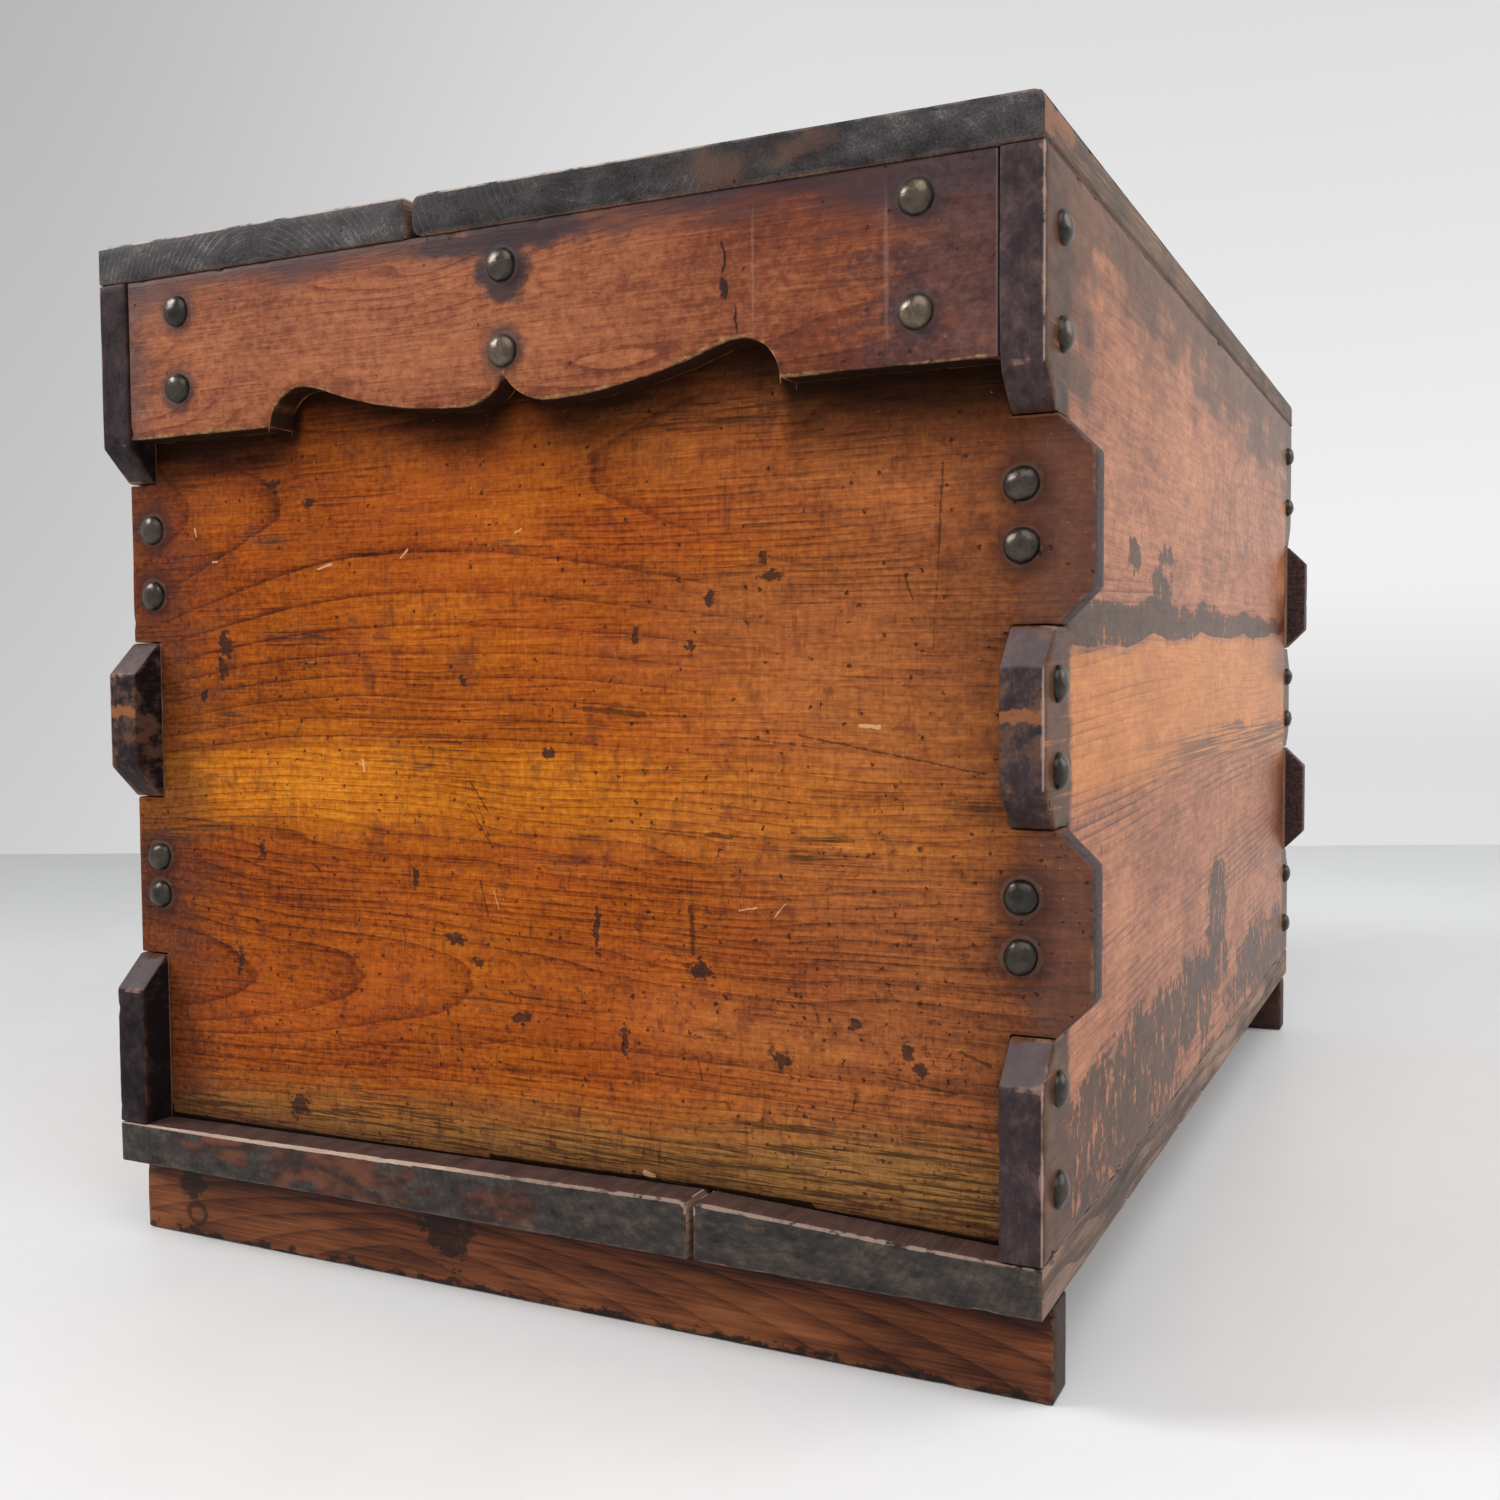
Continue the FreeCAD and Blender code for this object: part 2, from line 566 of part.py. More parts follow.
def foot(label, x):
    """Foot board on edge under an end panel, as long as the chest is deep."""
    return block(label, "Sizes.foot_thickness", "Sizes.chest_depth", "Sizes.foot_height",
                 (x, "Places.front_face", "0"))


# ---------------------------------------------------------------- the chest

sizes = add_sheet("Sizes", [(name, str(size), note) for name, size, note in SIZES])
add_sheet("Places", [(name, f"={formula}", "") for name, formula in PLACES])

lid_blank = lid_plank()
dome = dome_nail()
plank_nail = flat_nail("plank_nail", "Sizes.plank_nail_length")
foot_nail = flat_nail("foot_nail", "Sizes.foot_nail_length")
batten_nail = flat_nail("batten_nail", "Sizes.batten_nail_length")

left_face = "Places.left_panel_face"
left_apron_face = f"{left_face} - Sizes.apron_thickness"
foot_middle = "Places.left_tip + Sizes.foot_setback + Sizes.foot_thickness / 2"

front_nails = finger_nails("front_board_nails", "Places.front_face", FRONT)
rear_nails = finger_nails("rear_board_nails", "Places.rear_face", REAR)
panel_nails = {
    "left": tab_nails("left_panel_nails", left_face, LEFT),
    "right": tab_nails("right_panel_nails", mirrored(left_face), RIGHT),
}
decor_nails = {
    "left": apron_nails("left_apron_nails", left_apron_face, LEFT),
    "right": apron_nails("right_apron_nails", mirrored(left_apron_face), RIGHT),
}
top_nails = rear_top_plank_nails()
bottom_nails = bottom_plank_nails()
feet_nails = {
    "left": foot_nails("left_foot_nails", foot_middle),
    "right": foot_nails("right_foot_nails", mirrored(foot_middle)),
}
batten_nails = lid_batten_nails()

both_panel_nails = list(panel_nails.values())
both_foot_nails = list(feet_nails.values())
nodes = [front_nails, rear_nails, top_nails, bottom_nails, batten_nails]
nodes += both_panel_nails + list(decor_nails.values()) + both_foot_nails

nodes.append(with_holes("front_board", side_board("front_board_blank", "Places.front_face"),
                        [front_nails, bottom_nails] + both_panel_nails))
nodes.append(with_holes("rear_board", side_board("rear_board_blank", "Places.rear_inner"),
                        [rear_nails, bottom_nails, top_nails] + both_panel_nails))

# Each end piece by its side: the place of its lower X face.
ends = {
    "left": {
        "panel": left_face,
        "apron": left_apron_face,
        "foot": "Places.left_tip + Sizes.foot_setback",
        "batten": "Places.batten_left",
    },
    "right": {
        "panel": "-Places.left_panel_inner",
        "apron": "-Places.left_panel_face",
        "foot": "-(Places.left_tip + Sizes.foot_setback + Sizes.foot_thickness)",
        "batten": "-(Places.batten_left + Sizes.batten_width)",
    },
}
for side, spots in ends.items():
    nodes.append(with_holes(f"{side}_end_panel", end_panel(f"{side}_end_panel_blank", spots["panel"]),
                            [panel_nails[side], decor_nails[side], front_nails, rear_nails, top_nails,
                             bottom_nails, feet_nails[side]]))
    nodes.append(with_holes(f"{side}_apron", apron(f"{side}_apron_blank", spots["apron"]), [decor_nails[side]]))
    nodes.append(with_holes(f"{side}_foot", foot(f"{side}_foot_blank", spots["foot"]), [feet_nails[side]]))
    nodes.append(with_holes(f"{side}_lid_batten", lid_batten(f"{side}_lid_batten_blank", spots["batten"]),
                            [batten_nails]))

front_bottom = bottom_plank("front_bottom_plank_blank", "Sizes.front_bottom_width", "Places.front_face", True)
rear_bottom = bottom_plank("rear_bottom_plank_blank", "Places.rear_bottom_width",
                           "Places.bottom_seam + Sizes.bottom_seam_gap", False)
nodes.append(with_holes("front_bottom_plank", front_bottom, [bottom_nails] + both_foot_nails))
nodes.append(with_holes("rear_bottom_plank", rear_bottom, [bottom_nails] + both_foot_nails))

rear_top = block("rear_top_plank_blank", "Sizes.chest_length", "Places.rear_face - Places.rear_plank_front",
                 "Sizes.top_thickness", ("Places.left_tip", "Places.rear_plank_front", "Places.board_top"))
nodes.append(with_holes("rear_top_plank", rear_top, [top_nails]))
nodes.append(with_holes("lid_plank", lid_blank, [batten_nails]))

doc.recompute()


# ---------------------------------------------------------------- checks and files

def check_model():
    """Stop if an object failed to compute, or a node isn't made of sound solids."""
    for item in doc.Objects:
        if "Invalid" in item.State or "Error" in item.State:
            raise RuntimeError(f"{item.Label} failed: {item.State}")
    for node in nodes:
        shape = node.Shape
        if shape.isNull() or not shape.isValid() or not shape.Solids:
            raise RuntimeError(f"{node.Label} has no valid shape")
        if min(solid.Volume for solid in shape.Solids) <= 0:
            raise RuntimeError(f"{node.Label} has a solid with no volume")
        if node.TypeId == "Part::Cut":
            if len(shape.Solids) != 1:
                raise RuntimeError(f"{node.Label} fell apart into {len(shape.Solids)} solids")
            if shape.Volume >= node.Base.Shape.Volume:
                raise RuntimeError(f"{node.Label} has no nail holes")
        elif len(shape.Solids) != len(node.Links):
            raise RuntimeError(f"{node.Label} lost a nail")


check_model()
os.makedirs("parts", exist_ok=True)
for node in nodes:
    node.Shape.exportStep(f"parts/{node.Label}.step")
print(f"{len(nodes)} nodes, {sum(len(node.Shape.Solids) for node in nodes)} solids")
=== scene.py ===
import math
import random
from types import SimpleNamespace

import bmesh
import bpy
from mathutils import Matrix, Vector


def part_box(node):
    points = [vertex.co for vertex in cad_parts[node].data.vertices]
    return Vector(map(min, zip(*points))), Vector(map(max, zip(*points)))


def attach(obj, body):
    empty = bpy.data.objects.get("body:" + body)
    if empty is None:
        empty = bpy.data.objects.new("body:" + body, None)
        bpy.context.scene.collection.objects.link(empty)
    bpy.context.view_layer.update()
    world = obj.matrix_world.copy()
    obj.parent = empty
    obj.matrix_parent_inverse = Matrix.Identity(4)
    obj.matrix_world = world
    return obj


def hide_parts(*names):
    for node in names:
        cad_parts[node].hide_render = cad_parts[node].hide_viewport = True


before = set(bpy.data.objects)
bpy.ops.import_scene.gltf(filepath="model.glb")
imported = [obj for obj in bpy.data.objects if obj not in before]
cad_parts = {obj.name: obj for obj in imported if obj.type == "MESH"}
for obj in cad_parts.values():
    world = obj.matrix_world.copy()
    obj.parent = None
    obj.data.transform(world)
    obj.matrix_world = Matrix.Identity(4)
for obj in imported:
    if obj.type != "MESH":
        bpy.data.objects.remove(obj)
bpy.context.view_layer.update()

# ---------------------------------------------------------------- room
# A pale concrete floor that ends at a wall painted into the world, seen from low down beside the chest's left
# end.
# A lamp on the left throws the soft shadows; wider ones hang over the near corner and stand in front.

LOOK = Vector((0.90052, 0.43214, -0.04817))
SIDE = Vector((0.43234653, -0.90168355, -0.00657735))
EYE = Vector((-1.13645, -0.46377, 0.34297))

camera = bpy.data.objects.new("camera", bpy.data.cameras.new("camera"))
camera.data.lens = 37.34
camera.matrix_world = Matrix.Translation(EYE) @ Matrix((SIDE, SIDE.cross(LOOK), -LOOK)).transposed().to_4x4()
bpy.context.scene.collection.objects.link(camera)
bpy.context.scene.camera = camera
bpy.context.scene.view_settings.view_transform = "Standard"


class Wire:
    """A socket of a material or world.  Sums and products of wires add Math nodes to it."""

    def __init__(self, socket):
        self.socket = socket

    def node(self, kind, settings, *values, output=0, **named):
        """Add a node: its settings first, then values or wires for its open inputs, in order or by name."""
        tree = self.socket.id_data
        made = tree.nodes.new(f"ShaderNode{kind}")
        for name, setting in settings.items():
            if name == "stops":
                marks = made.color_ramp.elements
                marks.remove(marks[1])
                marks[0].position, marks[0].color = setting[0][0], (*setting[0][1], 1)
                for place, colour in setting[1:]:
                    marks.new(place).color = (*colour, 1)
            else:
                setattr(made, name, setting)
        filled = list(zip([socket for socket in made.inputs if socket.enabled], values))
        filled += [(made.inputs[name.replace("_", " ")], value) for name, value in named.items()]
        for socket, value in filled:
            if isinstance(value, Wire):
                tree.links.new(value.socket, socket)
            else:
                socket.default_value = (*value, 1) if socket.type == "RGBA" else value
        return Wire([socket for socket in made.outputs if socket.enabled][output]) if made.outputs else made

    def math(self, operation, *values):
        return self.node("Math", {"operation": operation}, self, *values)

    def vector(self, operation, *values):
        return self.node("VectorMath", {"operation": operation}, self, *values)

    def __add__(self, other):
        return self.math("ADD", other)

    def __sub__(self, other):
        return self.math("SUBTRACT", other)

    def __rsub__(self, other):
        return self.node("Math", {"operation": "SUBTRACT"}, other, self)

    def __mul__(self, other):
        return self.math("MULTIPLY", other)

    def __truediv__(self, other):
        return self.math("DIVIDE", other)

    def __pow__(self, other):
        return self.math("POWER", other)

    __radd__ = __add__
    __rmul__ = __mul__


def ease(value, low, high):
    """0 at low, 1 at high and smooth between them; low may be the larger."""
    return value.node("MapRange", {"interpolation_type": "SMOOTHSTEP"}, value, low, high)


def blend(mask, colour, other):
    """The first colour where the mask is 0 and the other where it is 1."""
    return mask.node("Mix", {"data_type": "RGBA"}, mask, colour, other)


MM = 0.001


def cloud(point, size, detail=3.0, rough=0.55, shift=0.0):
    """Soft random patches from 0 to 1, of the given size in millimetres along each axis."""
    scaled = point.vector("MULTIPLY_ADD", [1 / (length * MM) for length in size], [shift] * 3)
    return point.node("TexNoise", {}, Vector=scaled, Scale=1.0, Detail=detail, Roughness=rough)


def axes(point):
    """X, Y and Z of a point."""
    return [point.node("SeparateXYZ", {}, point, output=axis) for axis in range(3)]


world = bpy.data.worlds.new("room")
world.use_nodes = True
bpy.context.scene.world = world
world.node_tree.nodes.clear()
path = world.node_tree.nodes.new("ShaderNodeLightPath")
camera_ray, glossy_ray, clear_ray = [Wire(path.outputs[f"Is {ray} Ray"])
                                     for ray in ("Camera", "Glossy", "Transmission")]
seen = camera_ray.math("MAXIMUM", glossy_ray).math("MAXIMUM", clear_ray)
heading = axes(seen.node("TexCoord", {}))
# The wall seen by camera and glossy rays is painted light: brighter to the right and lower down, with painted
# shade near its foot on the right. Other rays get an even 0.4.
across = heading[0] * SIDE.x + heading[1] * SIDE.y
left_to_right = 0.485 + 0.3 * ease(across, -0.5, 0.05)
foot_to_top = 1.17 - 0.65 * heading[2]
dim_foot = 1 - 0.23 * ease(heading[2], 0.08, -0.06) * ease(across, -0.2, 0.3)
wall = left_to_right * foot_to_top * dim_foot
room_light = seen.node("Background", {}, (1.0, 1.0, 1.0), 0.4 * (1 - seen) + wall * seen)
seen.node("OutputWorld", {}, room_light)


def lamp(name, place, width, watts):
    """Square soft lamp that faces the chest."""
    light = bpy.data.lights.new(name, "AREA")
    light.size = width
    light.energy = watts
    holder = bpy.data.objects.new(name, light)
    holder.location = place
    holder.rotation_euler = (Vector((0, 0, 0.3)) - Vector(place)).to_track_quat("-Z", "Y").to_euler()
    bpy.context.scene.collection.objects.link(holder)


lamp("left_lamp", (-1.4, 1.9, 1.95), width=0.8, watts=42)
lamp("high_lamp", (-1.6, -0.9, 2.7), width=2.2, watts=40)
lamp("front_lamp", (0.9, -2.8, 2.2), width=2.2, watts=52)


def new_finish(name):
    """Empty material, and the point of the piece that it colours."""
    material = bpy.data.materials.new(name)
    material.use_nodes = True
    material.node_tree.nodes.clear()
    return material, Wire(material.node_tree.nodes.new("ShaderNodeTexCoord").outputs["Object"])


def surface(colour, roughness, height, gloss, metal=0.0):
    """Give the material a colour, a roughness and a relief whose height is in metres."""
    relief = height.node("Bump", {}, Strength=1.0, Distance=1.0, Height=height)
    shader = height.node("BsdfPrincipled", {}, Base_Color=colour, Roughness=roughness, Normal=relief,
                         Metallic=metal, Specular_IOR_Level=gloss)
    height.node("OutputMaterial", {}, shader)


floor_finish, spot = new_finish("floor")
mottle = cloud(spot, (900, 900, 900)) + 0.3 * cloud(spot, (50, 50, 50))
pale = blend(ease(mottle, 0.4, 0.9), (0.765, 0.775, 0.78), (0.815, 0.825, 0.83))
# Painted shade: the floor grows up to a fifth darker towards its far end.
far_floor_shade = ease(axes(spot)[1], 0.2, 1.5)
surface(blend(0.2 * far_floor_shade, pale, (0.0, 0.0, 0.0)), 0.45, 0.00008 * mottle, 0.3)

bpy.ops.mesh.primitive_plane_add(size=1)
floor = bpy.context.object
floor.name = "floor"
floor.scale = (6.1, 9.0, 1)
floor.rotation_euler.z = math.atan2(LOOK.y, LOOK.x)
bpy.ops.object.transform_apply(location=True, rotation=True, scale=True)
floor.data.transform(Matrix.Translation(Vector((EYE.x, EYE.y, 0))))
floor.data.materials.append(floor_finish)

# ---------------------------------------------------------------- feet
# Two softwood boards stand on edge under the ends, nailed up into the bottom.  Floor damp and boots have
# darkened them and rounded their arrises; painted shade darkens their tops and their inner faces.

def stock(name, low, high):
    """Squared timber between two corners."""
    bpy.ops.mesh.primitive_cube_add(size=1, location=(low + high) / 2, scale=high - low)
    bpy.ops.object.transform_apply(location=True, rotation=True, scale=True)
    bpy.context.object.name = name
    return bpy.context.object


def pick(kind, test):
    """Select the vertices, edges or faces of the piece being edited whose middle passes the test."""
    bpy.ops.mesh.select_mode(type=kind)
    bpy.ops.mesh.select_all(action="DESELECT")
    mesh = bmesh.from_edit_mesh(bpy.context.edit_object.data)
    for item in {"VERT": mesh.verts, "EDGE": mesh.edges, "FACE": mesh.faces}[kind]:
        corners = [item] if kind == "VERT" else item.verts
        if test(sum((corner.co for corner in corners), Vector()) / len(corners)):
            item.select_set(True)
    bmesh.update_edit_mesh(bpy.context.edit_object.data)


def near(value, target):
    return abs(value - target) < 1e-4


def saw(axis, place):
    """Divide the piece being edited by a plane square to the axis (0, 1 or 2)."""
    normal = Vector([float(axis == other) for other in range(3)])
    bpy.ops.mesh.select_all(action="SELECT")
    bpy.ops.mesh.bisect(plane_co=normal * place, plane_no=normal)


def shift(x, y, z):
    bpy.ops.transform.translate(value=(x, y, z))


def draw_out(x, y, z):
    bpy.ops.mesh.extrude_region_move(TRANSFORM_OT_translate={"value": (x, y, z)})


def lumps(name, size, contrast, share):
    """Random lumps of one size, for worn and chipped edges; the smaller the share, the fewer there are."""
    texture = bpy.data.textures.new(name, "CLOUDS")
    texture.noise_scale = size
    texture.noise_depth = 2
    texture.contrast = contrast
    texture.intensity = share
    texture.use_clamp = True
    return texture


RUBBED = lumps("rubbed", 40 * MM, 1.2, 1.0)
CHIPPED = lumps("chipped", 11 * MM, 3.5, 0.0)


def age(piece, arris, rub, chip, grid):
    """Take off the arrises, then wear and chip them, on a grid of about the given size; in millimetres."""
    bpy.ops.object.mode_set(mode="EDIT")
    for _ in range(2 - len(piece.data.materials)):
        piece.data.materials.append(None)
    pick("EDGE", lambda middle: False)
    mesh = bmesh.from_edit_mesh(piece.data)
    for edge in mesh.edges:
        if edge.calc_face_angle(0.0) > math.radians(20):
            edge.select_set(True)
    bmesh.update_edit_mesh(piece.data)
    bpy.ops.mesh.bevel(offset=arris * MM, segments=2, affect="EDGES", material=1)
    corners = [Vector(corner) for corner in piece.bound_box]
    for axis in range(3):
        low, high = min(c[axis] for c in corners), max(c[axis] for c in corners)
        count = int((high - low) / (grid * MM))
        for step in range(1, count):
            saw(axis, low + (high - low) * step / count)
    bpy.ops.mesh.select_mode(type="FACE")
    bpy.ops.mesh.select_all(action="DESELECT")
    piece.active_material_index = 1
    bpy.ops.object.material_slot_select()
    bpy.ops.object.vertex_group_assign_new()
    bpy.ops.object.mode_set(mode="OBJECT")
    edges = piece.vertex_groups[0]
    for texture, depth in ((RUBBED, rub), (CHIPPED, chip)):
        wear = piece.modifiers.new(texture.name, "DISPLACE")
        wear.texture = texture
        wear.vertex_group = edges.name
        wear.mid_level = 0.0
        wear.strength = -depth * MM
        bpy.ops.object.modifier_apply(modifier=wear.name)
    worn = piece.data.attributes.new("worn", "FLOAT", "POINT")
    worn.data.foreach_set("value", [float(bool(vertex.groups)) for vertex in piece.data.vertices])
    bpy.ops.object.material_slot_remove()
    bpy.ops.object.shade_smooth_by_angle(angle=math.radians(40))


def nail_seats(node, outward, axis):
    """Middle of the seat of each nail of a CAD node whose heads face one way along an axis."""
    mesh = bmesh.new()
    mesh.from_mesh(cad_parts[node].data)
    bmesh.ops.remove_doubles(mesh, verts=mesh.verts, dist=1e-6)
    loose = set(mesh.verts)
    seats = []
    while loose:
        found, edge = set(), {loose.pop()}
        while edge:
            found |= edge
            edge = {other for corner in edge for link in corner.link_edges
                    for other in link.verts if other not in found}
        loose -= found
        low = Vector([min(corner.co[side] for corner in found) for side in range(3)])
        high = Vector([max(corner.co[side] for corner in found) for side in range(3)])
        seat = (low + high) / 2
        seat[axis] = (high if outward > 0 else low)[axis]
        seats.append(seat)
    mesh.free()
    return sorted(seats, key=tuple)


SINK_REACH = 6 * MM
SINK_DEPTH = 0.8 * MM


def sink_nails(node, outward):
    """Press the newest piece in a little round each flat nail of a node."""
    seats = nail_seats(node, outward, 2)
    bpy.ops.object.mode_set(mode="EDIT")
    pick("VERT", lambda middle: any((middle - seat).length < SINK_REACH for seat in seats))
    shift(0, 0, -SINK_DEPTH * outward)
    bpy.ops.object.mode_set(mode="OBJECT")


def fit(piece, body, slot, finish, *nodes):
    """Finish a piece and set it in the frame in place of its CAD nodes."""
    piece.data.materials.clear()
    piece.data.materials.append(finish)
    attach(piece, body)
    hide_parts(*nodes)


def growth(radius, ring, waver=0.0, late=6.0):
    """Late wood of rings some millimetres wide, from 0 to a sharp end at 1; late makes it thin."""
    turn = (radius / (ring * MM) + waver).math("FRACT")
    return turn ** late * ease(turn, 1.0, 0.96)


def nearest(point, spots):
    """Distance to the nearest of some spots, each a place and its reach along each axis; 1 at their edge."""
    found = None
    for place, reach in spots:
        offset = [-middle / length for middle, length in zip(place, reach)]
        distance = point.vector("MULTIPLY_ADD", [1 / length for length in reach], offset).vector("LENGTH")
        found = distance if found is None else found.math("MINIMUM", distance)
    return found


def crumbled(point, amount, size):
    """The point moved about at random by up to an amount, for ragged outlines; both in millimetres."""
    noise = point.node("TexNoise", {}, output=1, Vector=point, Scale=1 / (size * MM), Detail=3.0)
    return noise.vector("MULTIPLY_ADD", [2 * amount * MM] * 3, [-amount * MM] * 3).vector("ADD", point)


def dents(point, pitch, radius, share, offset):
    """Round dents from 0 to 1, one in a share of the cells; pitch and radius are in millimetres."""
    moved = point.vector("ADD", [offset] * 3)
    cell = point.node("TexVoronoi", {}, Vector=moved, Scale=1 / (pitch * MM))
    chance = axes(point.node("TexVoronoi", {}, output=1, Vector=moved, Scale=1 / (pitch * MM)))[0]
    return ease(cell, radius / pitch, 0.6 * radius / pitch) * ease(chance, 1 - share, 1.02 - share)


def toward(point, axis):
    """How squarely the surface faces up the axis: 1, or -1 where it faces down it."""
    return axes(point.node("TexCoord", {}, output=1))[axis]


def facing(point, axis):
    """How squarely the surface faces along the axis either way, from 0 to 1."""
    return toward(point, axis).math("ABSOLUTE")


def edge_wear(point):
    """1 on the arrises and falling off beside them."""
    return point.node("Attribute", {"attribute_name": "worn"}, output=2)


def ramp(tone, *stops):
    """Colour of a tone between stops, each a tone and its colour."""
    return tone.node("ValToRGB", {"stops": stops}, tone)


foot_finish, spot = new_finish("foot_wood")
x, y, z = axes(spot)
fibre = cloud(spot, (2, 60, 1.3), 3, 0.6) - 0.5
depth = 0.05 + 0.12 * (y - 0.1).math("ABSOLUTE") - 0.9 * (x.math("ABSOLUTE") - 0.4345)
figure = (depth ** 2.0 + (z + 0.012 + 0.006 * cloud(spot, (100, 200, 40), 2)) ** 2.0) ** 0.5
rings = growth(figure, 6, 0.0, 3.0)
patches = cloud(spot, (50, 80, 20), 5, 0.6) - 0.5
grime = cloud(spot, (9, 9, 6), 4, 0.65) - 0.5
# The last term of tone is painted shade: the foot darkens towards its top, under the bottom planks.
tone = 0.6 + 0.6 * fibre - 0.19 * rings + patches - 0.45 * ease(z + 0.02 * patches, 0.026, 0.05)
wood = ramp(tone, (0.1, (0.014, 0.006, 0.005)), (0.36, (0.06, 0.018, 0.009)),
            (0.6, (0.185, 0.056, 0.02)), (0.9, (0.36, 0.13, 0.048)))
wood = blend(0.9 * ease(z + 0.025 * grime, 4.5 * MM, 1.0 * MM), wood, (0.014, 0.01, 0.009))
knot = nearest(crumbled(spot, 1.5, 6), [((-0.43, 0.252, 0.0145), (11 * MM, 10 * MM, 9 * MM))])
wood = blend(0.7 * ease((knot - 0.8).math("ABSOLUTE"), 0.25, 0.05), wood, (0.022, 0.01, 0.008))
stain = nearest(crumbled(spot, 6, 5), [
    ((-0.43, 0.066, 0.036), (0.05, 16 * MM, 16 * MM)),
    ((-0.43, 0.06, 0.022), (0.05, 8 * MM, 9 * MM)),
    ((-0.43, 0.255, 0.036), (0.05, 9 * MM, 12 * MM))])
wood = blend(0.8 * ease(stain + 2.5 * grime, 1.2, 0.8), wood, (0.015, 0.011, 0.01))
end = ease(facing(spot, 1), 0.7, 0.9)
wood = blend(0.9 * end, wood, (0.03, 0.021, 0.018))
# Painted shade: the faces turned in under the chest are made near black.
inward_face_shade = ease(toward(spot, 0) * x, -0.2, -0.38)
wood = blend(0.8 * inward_face_shade, wood, (0.035, 0.026, 0.024))
wood = blend(0.4 * ease(edge_wear(spot) + 2.0 * grime, 1.0, 1.2), wood, (0.2, 0.1, 0.055))
surface(wood, 0.55 + 0.3 * patches, 0.0003 * fibre - 0.0002 * rings, 0.15)

for name in ("left_foot", "right_foot"):
    foot = stock(name, *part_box(name))
    age(foot, arris=1.5, rub=0.7, chip=2.0, grid=4)
    sink_nails(f"{name}_nails", -1)
    fit(foot, "chest", "foot_wood", foot_finish, name)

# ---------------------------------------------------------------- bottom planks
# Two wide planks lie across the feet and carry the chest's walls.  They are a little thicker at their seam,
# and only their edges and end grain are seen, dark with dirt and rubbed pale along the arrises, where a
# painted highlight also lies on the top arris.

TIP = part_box("front_board")[1].x
low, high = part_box("front_board")
inner_front = high.y
inner_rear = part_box("rear_board")[0].y
board_bottom, board_top = low.z, high.z
CROWN = 5.8 * MM

bottom_finish, spot = new_finish("bottom_wood")
x, y, z = axes(spot)
fibre = cloud(spot, (60, 1.5, 1.5), 3, 0.6) - 0.5
heart = ((y + 0.12 + 0.02 * cloud(spot, (300, 100, 100))) ** 2.0 + (z - 0.12) ** 2.0) ** 0.5
rings = growth(heart, 4.5, 0.0, 3.0)
patches = cloud(spot, (120, 30, 20), 5, 0.65) - 0.5
grime = cloud(spot, (20, 12, 6), 5, 0.7, 3.0) - 0.5
tone = 0.54 + 0.5 * fibre - 0.2 * rings + 1.1 * patches
wood = ramp(tone, (0.1, (0.03, 0.022, 0.02)), (0.42, (0.11, 0.072, 0.055)),
            (0.6, (0.27, 0.165, 0.115)), (0.85, (0.42, 0.27, 0.19)))
ledge = ease(toward(spot, 2), 0.5, 0.9)
dust = blend(0.5 + 1.5 * grime + fibre, (0.03, 0.018, 0.016), (0.115, 0.062, 0.05))
wood = blend(ledge, wood, dust)
end = ease(facing(spot, 0), 0.6, 0.9)
end_tone = 0.48 + 1.2 * grime + 0.5 * patches - 0.08 * rings
end_wood = ramp(end_tone, (0.2, (0.012, 0.01, 0.01)), (0.45, (0.042, 0.035, 0.031)),
                (0.62, (0.08, 0.058, 0.046)), (0.85, (0.16, 0.11, 0.08)))
wood = blend(end, wood, end_wood)
flaked = nearest(crumbled(spot, 24, 22), [
    ((-TIP, 0.215, 0.066), (0.03, 0.03, 0.007)),
    ((-TIP, 0.125, 0.062), (0.03, 0.055, 0.011)),
    ((-TIP, 0.012, 0.06), (0.03, 0.022, 0.013))])
swirl = (cloud(spot, (30, 60, 20), 3, 0.5, 5.0) * 1.9).math("PINGPONG", 0.25) * 4.0
rust = blend(swirl + 2.0 * grime, (0.034, 0.015, 0.011), (0.17, 0.05, 0.023))
wood = blend(0.8 * end * ease(flaked + 1.6 * grime, 1.2, 0.8), wood, rust)
rubbed = end.math("MAXIMUM", ledge) * ease(edge_wear(spot) + 0.9 * grime, 0.9, 1.0)
# Painted highlight on top of the rubbed wear: the top arris is near white, most of all towards the rear.
top_arris_highlight = 0.85 * ease(y + 0.2 * patches, -0.06, 0.06) * ease(edge_wear(spot) + 0.7 * grime, 0.8, 0.92)
top_arris = ease(z, board_bottom - 1.3 * MM, board_bottom - 0.6 * MM)
wood = blend(top_arris_highlight.math("MAXIMUM", 0.5 * rubbed) * top_arris, wood, (0.62, 0.46, 0.37))
wood = blend(0.25 * rubbed, wood, (0.2, 0.11, 0.075))
surface(wood, 0.58 + 0.25 * grime, 0.0004 * fibre + 0.0006 * grime, 0.2)

for name, seam_at_rear in (("front_bottom_plank", True), ("rear_bottom_plank", False)):
    low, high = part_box(name)
    high.z = board_bottom
    plank = stock(name, low, high)
    bpy.ops.object.mode_set(mode="EDIT")
    saw(1, inner_front if seam_at_rear else inner_rear)
    seam = high.y if seam_at_rear else low.y
    pick("EDGE", lambda middle: near(middle.y, seam) and near(middle.z, board_bottom))
    shift(0, 0, CROWN)
    bpy.ops.object.mode_set(mode="OBJECT")
    age(plank, arris=1.6, rub=0.6, chip=2.2, grid=4)
    sink_nails("bottom_plank_nails", -1)
    fit(plank, "chest", "bottom_wood", bottom_finish, name)

